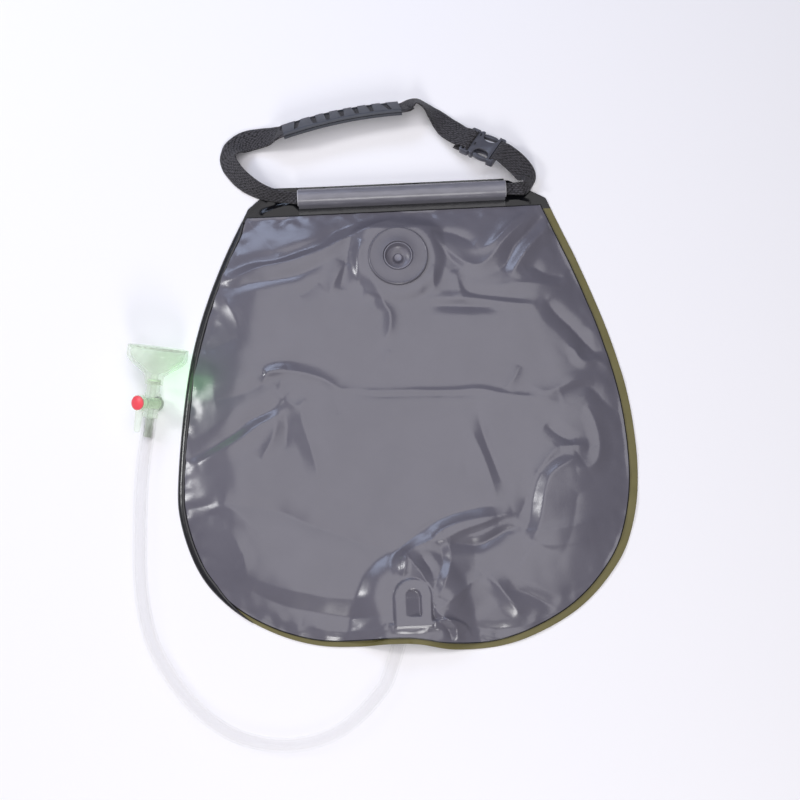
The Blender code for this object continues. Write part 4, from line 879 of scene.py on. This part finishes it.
dark_plastic, tree, shader = start_material("dark outlet plastic, moulded", "2f2e35", 0.35)
add_relief(tree, shader, noise_over(tree, 400.0, 3.0), 0.15, 0.0003)


def dress(node_name, material):
    """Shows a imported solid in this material."""
    for place in nodes[node_name].material_slots:
        place.material = material


dress("outlet_fitting", dark_plastic)

# Webbing
# Black polyester webbing, 25 mm wide and 1.6 mm thick, woven flat. Each length is a band that is
# drawn through stations of centre, width way, half width and half thickness, in millimetres. On
# the buckle it climbs over the ladder into a slot, and comes up again over the sewn end's bar.

weave_pitch = 0.0021  # coarser than the real 1.2 mm, which would be finer than a pixel
webbing_half = 12.5
webbing_deep = 0.80
buckle_frame = Matrix(
    (
        (0.84661, 0.53205, 0.01307, 0.09640),
        (-0.50870, 0.80175, 0.31372, 0.26800),
        (0.15643, -0.27224, 0.94943, 0.01640),
        (0, 0, 0, 1),
    )
)

webbing, tree, shader = start_material("black polyester webbing, woven", "242327", 0.9)
shader.inputs["Sheen Weight"].default_value = 0.1
shader.inputs["Sheen Roughness"].default_value = 0.5
weave = add_node(tree, "UVMap", {"uv_map": "weave"})
turns = 2 * math.pi / (20 * weave_pitch)
along = {"Vector": weave.outputs["UV"], "Scale": turns}
warp = add_node(tree, "TexWave", {"bands_direction": "X"}, Distortion=2.5, **along)
weft = add_node(tree, "TexWave", {"bands_direction": "DIAGONAL"}, Distortion=3.5, **along)
cross = add_node(tree, "Math", {"operation": "MULTIPLY"}, n0=warp.outputs["Fac"], n1=weft.outputs["Fac"])
fuzz = add_node(tree, "TexNoise", Vector=weave.outputs["UV"], Scale=420.0, Detail=5.0)
added = {"n0": cross.outputs[0], "n1": 0.45, "n2": fuzz.outputs["Fac"]}
threads = add_node(tree, "Math", {"operation": "MULTIPLY_ADD"}, **added).outputs[0]
share = add_node(tree, "MapRange", Value=threads, From_Min=0.42, From_Max=0.80)
add_tint(tree, shader, share.outputs["Result"], "0e0d10", "4a484e")
add_relief(tree, shader, threads, 0.6, 0.0005)


def on_buckle(*rows):
    """Stations on the buckle's middle line, from places along it and heights in millimetres."""
    wide = tuple(buckle_frame.to_3x3() @ Vector((0, -1, 0)))
    found = []
    for along, height in rows:
        place = buckle_frame @ Vector((along / 1000, 0, height / 1000)) * 1000
        found.append((*place, *wide))
    return found


rod_run_stations = [(x, 225.6, 9.1, 0, 1, 0, 5.9, 1.7) for x in (-100, 7, 114)]
left_stations = [
    (-100.3, 225.6, 9.1, 0.00, 1.00, 0.00, 5.9, 1.70),
    (-107.0, 226.4, 10.2, 0.06, 0.86, 0.50, 6.0, 1.70),
    (-114.5, 227.4, 11.6, 0.16, 0.62, 0.77, 6.9, 1.70),
    (-123.2, 229.2, 12.0, 0.35, 0.38, 0.86, 8.5, 1.50),
    (-131.6, 231.9, 11.7, 0.43, 0.26, 0.87, 10.2, 1.20),
    (-140.8, 236.2, 11.5, 0.48, 0.22, 0.85, 11.8, 0.90),
    (-149.6, 241.9, 11.9, 0.52, 0.22, 0.83),
    (-157.3, 249.1, 11.6, 0.57, 0.19, 0.80),
    (-163.7, 257.6, 11.1, 0.63, 0.10, 0.77),
    (-168.4, 266.1, 10.3, 0.68, -0.04, 0.73),
    (-169.6, 273.4, 9.7, 0.65, -0.32, 0.69),
    (-166.8, 280.6, 8.3, 0.53, -0.63, 0.57),
    (-160.8, 287.3, 5.6, 0.35, -0.86, 0.36),
    (-150.6, 292.8, 3.4, 0.23, -0.96, 0.16),
    (-137.4, 295.0, 4.2, 0.17, -0.95, 0.26),
    (-126.4, 295.4, 7.6, 0.13, -0.89, 0.44),
    (-118.8, 296.0, 11.8, 0.12, -0.75, 0.65, 12.7, 0.90),
    (-112.4, 296.8, 14.8, 0.11, -0.65, 0.755, 13.4, 1.70),
    (-82.0, 305.1, 14.9, 0.11, -0.65, 0.755, 13.6, 1.00),
    (-51.5, 311.4, 14.9, 0.11, -0.65, 0.755, 13.6, 1.00),
    (-21.1, 315.5, 14.9, 0.11, -0.65, 0.755, 13.6, 1.00),
    (9.3, 317.4, 14.9, 0.10, -0.65, 0.755, 13.4, 1.70),
    (14.6, 320.3, 12.6, 0.05, -0.73, 0.68),
    (21.2, 324.6, 11.6, 0.00, -0.68, 0.73),
    (27.2, 326.0, 11.9, -0.04, -0.57, 0.82),
    (32.8, 323.4, 11.9, -0.08, -0.55, 0.83),
    (38.3, 318.8, 11.0, -0.17, -0.61, 0.77),
    (43.6, 312.7, 9.0, -0.28, -0.74, 0.61),
    (50.3, 305.4, 6.8, -0.37, -0.84, 0.40),
    (57.4, 297.5, 6.6, -0.44, -0.86, 0.26),
    (63.6, 291.2, 9.2, -0.50, -0.83, 0.25),
]
left_stations += on_buckle((-31, 2.2), (-26, 3.8), (-22.5, 4.3), (-18.9, 4.3), (-17.1, 3.4), (-16.3, 0.8))
tail_stations = on_buckle((-32.5, -4.5), (-26, -4.5), (-19.7, -4.5))
right_stations = on_buckle((10.9, 1.0), (11.2, 3.8), (12.8, 5.1), (15.4, 5.1), (19.0, 4.3))
right_stations += [
    (116.0, 257.5, 21.4, -0.53, -0.82, 0.20),
    (122.5, 252.2, 19.6, -0.55, -0.82, 0.15),
    (128.7, 246.5, 17.0, -0.57, -0.81, 0.15),
    (133.8, 240.4, 14.8, -0.60, -0.76, 0.24),
    (137.2, 234.9, 13.6, -0.60, -0.63, 0.48, 12.0, 0.80),
    (137.4, 230.4, 12.4, -0.58, -0.36, 0.70, 10.6, 1.00),
    (134.4, 226.6, 10.9, -0.54, 0.14, 0.78, 8.7, 1.30),
    (129.4, 225.4, 9.6, -0.30, 0.82, 0.40, 6.9, 1.60),
    (122.0, 225.5, 9.2, -0.05, 0.99, 0.10, 6.2, 1.70),
    (114.3, 225.6, 9.1, 0.00, 1.00, 0.00, 5.9, 1.70),
]


def webbing_band(name, stations, body):
    """A band with rounded edges through the stations, with its weave laid out in metres.

    A station that doesn't give its half width and half thickness has the plain webbing's.
    """
    rows = smooth_line([(*row, webbing_half, webbing_deep)[:8] for row in stations], 12)
    rows[:, (0, 1, 2, 6, 7)] /= 1000
    rows = even_line(rows, 0.0015, 3)
    centres, wide = rows[:, :3], rows[:, 3:6]
    ahead = np.gradient(centres, axis=0)
    ahead /= np.linalg.norm(ahead, axis=1)[:, None]
    wide = wide - ahead * (wide * ahead).sum(axis=1)[:, None]
    wide /= np.linalg.norm(wide, axis=1)[:, None]
    face = np.cross(wide, ahead)
    runs = np.concatenate([[0], np.cumsum(np.linalg.norm(np.diff(centres, axis=0), axis=1))])
    across = np.concatenate([np.linspace(-1, 1, 13), np.linspace(1, -1, 13)])
    above = np.concatenate([np.ones(13), -np.ones(13)]) * (1 - 0.45 * np.abs(across) ** 10)
    loops = []
    weave_at = []
    for i, row in enumerate(rows):
        wave = 0.0005 * noise.noise(Vector((runs[i] * 45, 0.3, 1.7)))
        bow = wave * across**2
        loop = centres[i] + np.outer(across * row[6], wide[i])
        loop = loop + np.outer(above * row[7] + bow, face[i])
        loops.append(loop)
        weave_at.append([(u * row[6], runs[i]) for u in across])
    made = strip_mesh(name, loops, webbing, closed=True)
    layer = made.data.uv_layers.new(name="weave")
    flat = np.array(weave_at).reshape(-1, 2)
    corner_points = np.zeros(len(made.data.loops), int)
    made.data.loops.foreach_get("vertex_index", corner_points)
    layer.data.foreach_set("uv", flat[corner_points].ravel())
    if body:
        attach(made, body)
    return made


rod_webbing = webbing_band("webbing_in_rod", rod_run_stations, "bag")
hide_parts("strap_rod_run")
left_webbing = webbing_band("webbing_left", left_stations, "strap")
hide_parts("strap_left")
tail_webbing = webbing_band("webbing_tail", tail_stations, "strap")
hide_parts("strap_tail")
right_webbing = webbing_band("webbing_right", right_stations, None)
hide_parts("strap_right")
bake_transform(right_webbing)

# Grip
# Slate rubber moulding, folded lengthways round the webbing with its lips to the south, and
# slotted by seven wedges so that it bends. It is a profile drawn along a slightly bowed line.

grip_middle = Vector((-0.0515, 0.3092, 0.0149))
grip_heading = math.radians(9.7)
grip_lean = math.radians(49)
grip_half = 0.06175
grip_bow = 0.0044
grip_outer = (0.0150, 0.0036)
grip_inner = (0.0137, 0.0022)
grip_round = 0.0024
grip_lip = 0.0004
slot_pitch = 0.01495
slot_shift = 0.0007
slot_depth = 0.006
slot_half = 0.0033
slot_foot = 0.0019
slot_span = (0.0146, -0.0122)
slot_leans = (-0.0042, 0.0011, 0.0, 0.0, 0.0006, 0.0012, 0.0052)

grip_rubber, tree, shader = start_material("slate rubber, moulded matt", "42454e", 0.55)
add_tint(tree, shader, noise_over(tree, 90.0, 4.0), "373a43", "4c4f59")
add_relief(tree, shader, noise_over(tree, 1100.0, 3.0), 0.35, 0.0003)

grip_frame = Matrix.Translation(grip_middle) @ Matrix.Rotation(grip_heading, 4, "Z")
grip_frame = grip_frame @ Matrix.Rotation(-grip_lean, 4, "X")


def grip_point(x, y, z):
    """A point of the straight grip, moved onto its bowed line."""
    bow = grip_bow * (0.5 - (x / grip_half) ** 2)
    return grip_frame @ Vector((x, y, z)) + Vector((0, bow, 0))


def rounded_corner(centre, radius, start, stop, steps=5):
    """Points round a corner, from one angle to another in degrees."""
    turns = np.linspace(math.radians(start), math.radians(stop), steps)
    return [(centre[0] + radius * math.cos(t), centre[1] + radius * math.sin(t)) for t in turns]


out_y, out_z = grip_outer
in_y, in_z = grip_inner
corner = out_z - grip_round
upper = [(-out_y, grip_lip)]
upper += rounded_corner((-out_y + grip_round, corner), grip_round, 180, 90)
upper += rounded_corner((out_y - grip_round, corner), grip_round, 90, 0)
inner = [(in_y, in_z), (-in_y, in_z), (-in_y, grip_lip)]
profile = upper + [(y, -z) for y, z in upper[::-1]] + [(y, -z) for y, z in inner[::-1]] + inner
rows = []
for x in np.linspace(-grip_half, grip_half, 53):
    rows.append([grip_point(x, y, z) for y, z in profile])
grip = strip_mesh("grip", rows, grip_rubber, closed=True)
wedges = bmesh.new()
for i, tilt in enumerate(slot_leans):
    x = (i - 3) * slot_pitch + slot_shift
    wide, narrow = slot_span
    vee = [(x - slot_half, wide), (x + slot_half, wide)]
    vee += [(x + tilt + slot_foot, narrow), (x + tilt - slot_foot, narrow)]
    low = [wedges.verts.new(grip_point(a, b, 0.0)) for a, b in vee]
    high = [wedges.verts.new(grip_point(a, b, slot_depth)) for a, b in vee]
    wedges.faces.new(low[::-1])
    wedges.faces.new(high)
    for k in range(4):
        wedges.faces.new((low[k], low[(k + 1) % 4], high[(k + 1) % 4], high[k]))
bmesh.ops.recalc_face_normals(wedges, faces=wedges.faces)
wedge_tool = put_in_scene("wedges", mesh_of(wedges, "wedges"))


def cut_by(target, tool):
    """The target's mesh with the tool's volume taken out; the tool is thrown away."""
    step = target.modifiers.new("cut", "BOOLEAN")
    step.operation = "DIFFERENCE"
    step.solver = "EXACT"
    step.object = tool
    shaped = target.evaluated_get(bpy.context.evaluated_depsgraph_get())
    form = bmesh.new()
    form.from_mesh(bpy.data.meshes.new_from_object(shaped))
    target.modifiers.clear()
    bpy.data.objects.remove(tool)
    bmesh.ops.remove_doubles(form, verts=form.verts, dist=1e-6)
    form.to_mesh(target.data)
    form.free()
    target.data.shade_smooth()
    target.data.set_sharp_from_angle(angle=math.radians(38))


cut_by(grip, wedge_tool)
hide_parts("handle_grip")
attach(grip, "strap")

# Buckle
# Side-release buckle, moulded in grey acetal: a ladder with a tongue, two sprung arms and the box
# that they latch in. Each is an outline raised to a slab, cut out and rounded at its edges.

acetal, tree, shader = start_material("grey acetal, moulded", "51525b", 0.3)
add_tint(tree, shader, noise_over(tree, 160.0, 4.0), "45464f", "5c5d67")
add_relief(tree, shader, noise_over(tree, 1300.0, 2.0), 0.2, 0.0002)

buckle_ease = 0.0005
box_half_height = 0.0042
ladder_half_height = 0.0034
arm_half_height = 0.0023
ladder_slots = (-0.0218, -0.0173)
ladder_slot = 0.0021
slot_way = (-0.0142, 0.0142)
past_face = 0.006
past_side = 0.020
window_span = (-0.0092, 0.0074)
window_deep = 0.0088
arm_root = 0.0142
arm_outside = (
    (-0.0137, 0.0138), (-0.0100, 0.0140), (-0.0080, 0.0152), (-0.0045, 0.0160), (0.0000, 0.0163),
    (0.0040, 0.0159), (0.0070, 0.0146),
)
arm_inside = (
    (0.0068, 0.0130), (0.0040, 0.0126), (-0.0010, 0.0124), (-0.0070, 0.0116), (-0.0137, 0.0113),
)


def eased_copy(name, node_name, ease, material):
    """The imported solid's shape, its flats made whole again and its sharp edges rounded."""
    form = bmesh.new()
    form.from_mesh(nodes[node_name].data)
    bmesh.ops.remove_doubles(form, verts=form.verts, dist=1e-5)
    bmesh.ops.dissolve_limit(form, angle_limit=math.radians(0.5), verts=form.verts, edges=form.edges)
    made = finished(form, name, material, ease=ease)
    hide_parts(node_name)
    return made


def slab(name, outline, low, high):
    """A flat object over the outline, between two heights."""
    form = bmesh.new()
    under = [form.verts.new((x, y, low)) for x, y in outline]
    over = [form.verts.new((x, y, high)) for x, y in outline]
    form.faces.new(under[::-1])
    form.faces.new(over)
    for k in range(len(outline)):
        n = (k + 1) % len(outline)
        form.faces.new((under[k], under[n], over[n], over[k]))
    bmesh.ops.recalc_face_normals(form, faces=form.faces)
    return put_in_scene(name, mesh_of(form, name))


def block(x, y, z):
    """A box to cut with, from its span along each axis."""
    return slab("cutter", [(x[0], y[0]), (x[1], y[0]), (x[1], y[1]), (x[0], y[1])], *z)


def moulded(name, body, cuts, node_name, rides):
    """The body with these cut out of it, its edges rounded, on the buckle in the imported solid's place."""
    for tool in cuts:
        cut_by(body, tool)
    form = bmesh.new()
    form.from_mesh(body.data)
    bpy.data.objects.remove(body)
    bmesh.ops.dissolve_limit(form, angle_limit=math.radians(0.5), verts=form.verts, edges=form.edges)
    made = finished(form, name, acetal, buckle_frame, buckle_ease)
    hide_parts(node_name)
    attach(made, rides)


def bite(side):
    """A side window: a long rounded bite out of the box."""
    turns = np.linspace(0, math.pi, 15)
    middle, half = (window_span[0] + window_span[1]) / 2, (window_span[1] - window_span[0]) / 2
    outline = [(window_span[1], side * past_side)]
    for t in turns:
        depth = arm_root - window_deep * math.sin(t) ** 0.7
        outline.append((middle + half * math.cos(t), side * depth))
    outline.append((window_span[0], side * past_side))
    return slab("window", outline, -past_face, past_face)


box_outline = [(-0.0137, -0.0146), (-0.0112, -0.0160), (window_span[0], -0.0158), (window_span[1], -0.0165)]
box_outline += [(0.0134, -0.0165), (0.0145, -0.0154)]
box_outline += [(x, -y) for x, y in box_outline[::-1]]
box_cuts = [block((-0.015, 0.0068), slot_way, (-0.0026, 0.0026)), bite(1), bite(-1)]
box_cuts.append(block((0.0097, 0.0121), slot_way, (-past_face, past_face)))
for nick in ((-0.0052, -0.0012), (0.0090, 0.0128)):
    box_cuts.append(block((-0.0128, -0.0112), nick, (0.001, past_face)))
box = slab("box", box_outline, -box_half_height, box_half_height)
moulded("buckle_box_half", box, box_cuts, "buckle_female", "female")

base_outline = [(-0.0242, -0.0150), (-0.0228, -0.0165), (-0.0152, -0.0165), (-0.0140, -0.0150)]
base_outline += [(-0.0140, -0.0036), (0.0004, -0.0036), (0.0040, -0.0012)]
base_outline += [(x, -y) for x, y in base_outline[::-1]]
base_cuts = []
for span in ((arm_half_height, past_face), (-past_face, -arm_half_height)):
    base_cuts.append(block((-0.0140, 0.0050), (-past_side, past_side), span))
for start in ladder_slots:
    base_cuts.append(block((start, start + ladder_slot), slot_way, (-past_face, past_face)))
ladder = slab("base", base_outline, -ladder_half_height, ladder_half_height)
moulded("buckle_ladder_half", ladder, base_cuts, "buckle_male", "strap")

arm_curve = smooth_line(arm_outside, 5).tolist() + smooth_line(arm_inside, 4).tolist()
for side, name in ((1, "upper"), (-1, "lower")):
    outline = [(x, side * y) for x, y in arm_curve]
    body = slab("arm", outline[::side], -arm_half_height, arm_half_height)
    moulded(f"buckle_{name}_arm", body, [], f"buckle_arm_{name}", f"arm_{name}")

# Shower head
# Tap and rose in pale green clear plastic, so thin-walled and bright that they nearly vanish on
# the white floor. Their walls let light through tinted, and so their shadows are green.

head_frame = Matrix(
    (
        (-0.49166, 0.85373, 0.17153, -0.25360),
        (-0.16634, -0.28543, 0.94385, 0.00120),
        (0.85476, 0.43552, 0.28234, 0.01160),
        (0, 0, 0, 1),
    )
)
spindle_frame = head_frame @ Matrix.Translation((0, 0, 0.0143)) @ Matrix.Rotation(math.pi / 2, 4, "Y")

green_clear = clear_plastic("pale green styrene, clear", "fcfff9", "fbfffa", 0.12, 0.34, 0.35)

rotor_white, tree, shader = start_material("pale rotor acetal", "dff6d8", 0.35)
add_relief(tree, shader, noise_over(tree, 300.0, 3.0), 0.15, 0.0003)

seal_rubber, tree, shader = start_material("pale green seal rubber", "d5e8cf", 0.6)
add_relief(tree, shader, noise_over(tree, 900.0, 3.0), 0.3, 0.0002)

steel, tree, shader = start_material("spring steel, drawn", "b9bcc1", 0.28, ior=2.5, metallic=1.0)
add_relief(tree, shader, noise_over(tree, 1200.0, 2.0), 0.2, 0.0001)

red_plastic, tree, shader = start_material("red cap plastic, moulded", "f3505d", 0.4)
add_relief(tree, shader, noise_over(tree, 500.0, 3.0), 0.2, 0.0003)

dress("tap_rotor", rotor_white)
dress("rotor_seal_upper", seal_rubber)
dress("rotor_seal_lower", seal_rubber)
dress("rose_seal", seal_rubber)
dress("retaining_clip", steel)
dress("handle_screw", steel)
dress("spray_plate", green_clear)

tap = eased_copy("tap", "tap_body", 0.0003, green_clear)
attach(tap, "bag")
lever = eased_copy("tap_lever", "tap_handle", 0.0005, green_clear)
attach(lever, "tap")

cap_low = 0.0221
skirt_low = cap_low - 0.0021
cap_profile = [(0, cap_low), (0.0049, cap_low), (0.0049, skirt_low), (0.0059, skirt_low)]
cap_profile += [(0.0059, cap_low), (0.0070, cap_low), (0.0070, cap_low + 0.0010)]
cap_profile += [(0.0064, cap_low + 0.0015), (0, cap_low + 0.0017)]
cap = turned("red_cap", cap_profile, 64, red_plastic, spindle_frame, 0.0)
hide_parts("handle_cap")
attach(cap, "tap")

rose_neck = 0.0090
rose_rim = 0.0300
rose_rim_inside = 0.0266
cone_foot = 0.0412
cone_top = 0.0614
rose_profile = [(0.0068, 0.0330), (rose_neck, 0.0330), (rose_neck, 0.0405)]
rose_inside = [(0.0068, 0.0382), (0.0036, 0.0382), (0.0036, 0.0440)]
for share in np.linspace(0, 1, 17):
    swell = math.sin(share * math.pi / 2) ** 1.3
    height = cone_foot + (cone_top - cone_foot) * share
    rose_profile.append((rose_neck + (rose_rim - rose_neck) * swell, height))
    if share >= 0.2:
        rose_inside.append((0.0054 + (rose_rim_inside - 0.0054) * swell, height + 0.0016))
rose_profile += [(rose_rim, 0.0704), (0.0282, 0.0704), (0.0282, 0.0673), (rose_rim_inside, 0.0673)]
rose = turned("rose", rose_profile + rose_inside[::-1], 128, green_clear, head_frame, 0.0003)
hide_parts("rose_bell")
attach(rose, "bag")

# Floor, light and air
# A pale seamless sheet under the bag. A long ceiling light veils the film, small bright ones to
# the left and at the foot glint in its creases, and a bluish one stands beyond its head.

floor_half = 3

floor_sheet, tree, shader = start_material("pale photo sheet, matt", "f5f4f9", 0.9)
shader.inputs["Specular IOR Level"].default_value = 0.1
add_relief(tree, shader, noise_over(tree, 300.0, 3.0), 0.05, 0.0003)

corners = [(x * floor_half, y * floor_half, 0) for x, y in ((-1, -1), (1, -1), (1, 1), (-1, 1))]
floor = mesh_from("floor", corners, [(0, 1, 2, 3)], floor_sheet)


def soft_light(name, place, aim, size, power, hex_colour):
    """A rectangular area light that looks at a point."""
    lamp = bpy.data.lights.new(name, "AREA")
    lamp.shape = "RECTANGLE"
    lamp.size, lamp.size_y = size
    lamp.energy = power
    lamp.color = linear_rgb(hex_colour)[:3]
    made = put_in_scene(name, lamp)
    made.location = place
    made.rotation_euler = (Vector(place) - Vector(aim)).to_track_quat("Z", "Y").to_euler()


soft_light("key light", (-1.52, 0.45, 1.30), (0, 0, 0), (0.34, 0.44), 11, "ffffff")
soft_light("foot light", (0.0, -1.62, 1.27), (0, 0, 0), (0.50, 0.70), 15, "fffefc")
soft_light("sky light", (-0.55, 1.25, 1.0), (0, 0, 0), (0.8, 0.4), 5.5, "cfdfff")
soft_light("ceiling light", (0.10, 0.10, 1.9), (0.10, 0.10, 0), (1.5, 2.3), 23, "fdfbfd")
rose_side, beside_rose = (-0.2220, 0.0400, 0.0280), (-0.2000, 0.0400, 0.002)
soft_light("light through the head", rose_side, beside_rose, (0.03, 0.03), 0.005, "7dff86")

air = bpy.data.worlds.new("air")
air.use_nodes = True
tree = air.node_tree
shader = tree.nodes["Background"]
shader.inputs["Strength"].default_value = 0.12
shader.inputs["Color"].default_value = linear_rgb("fbf9fb")
bpy.context.scene.world = air
bpy.context.scene.view_settings.view_transform = "Standard"
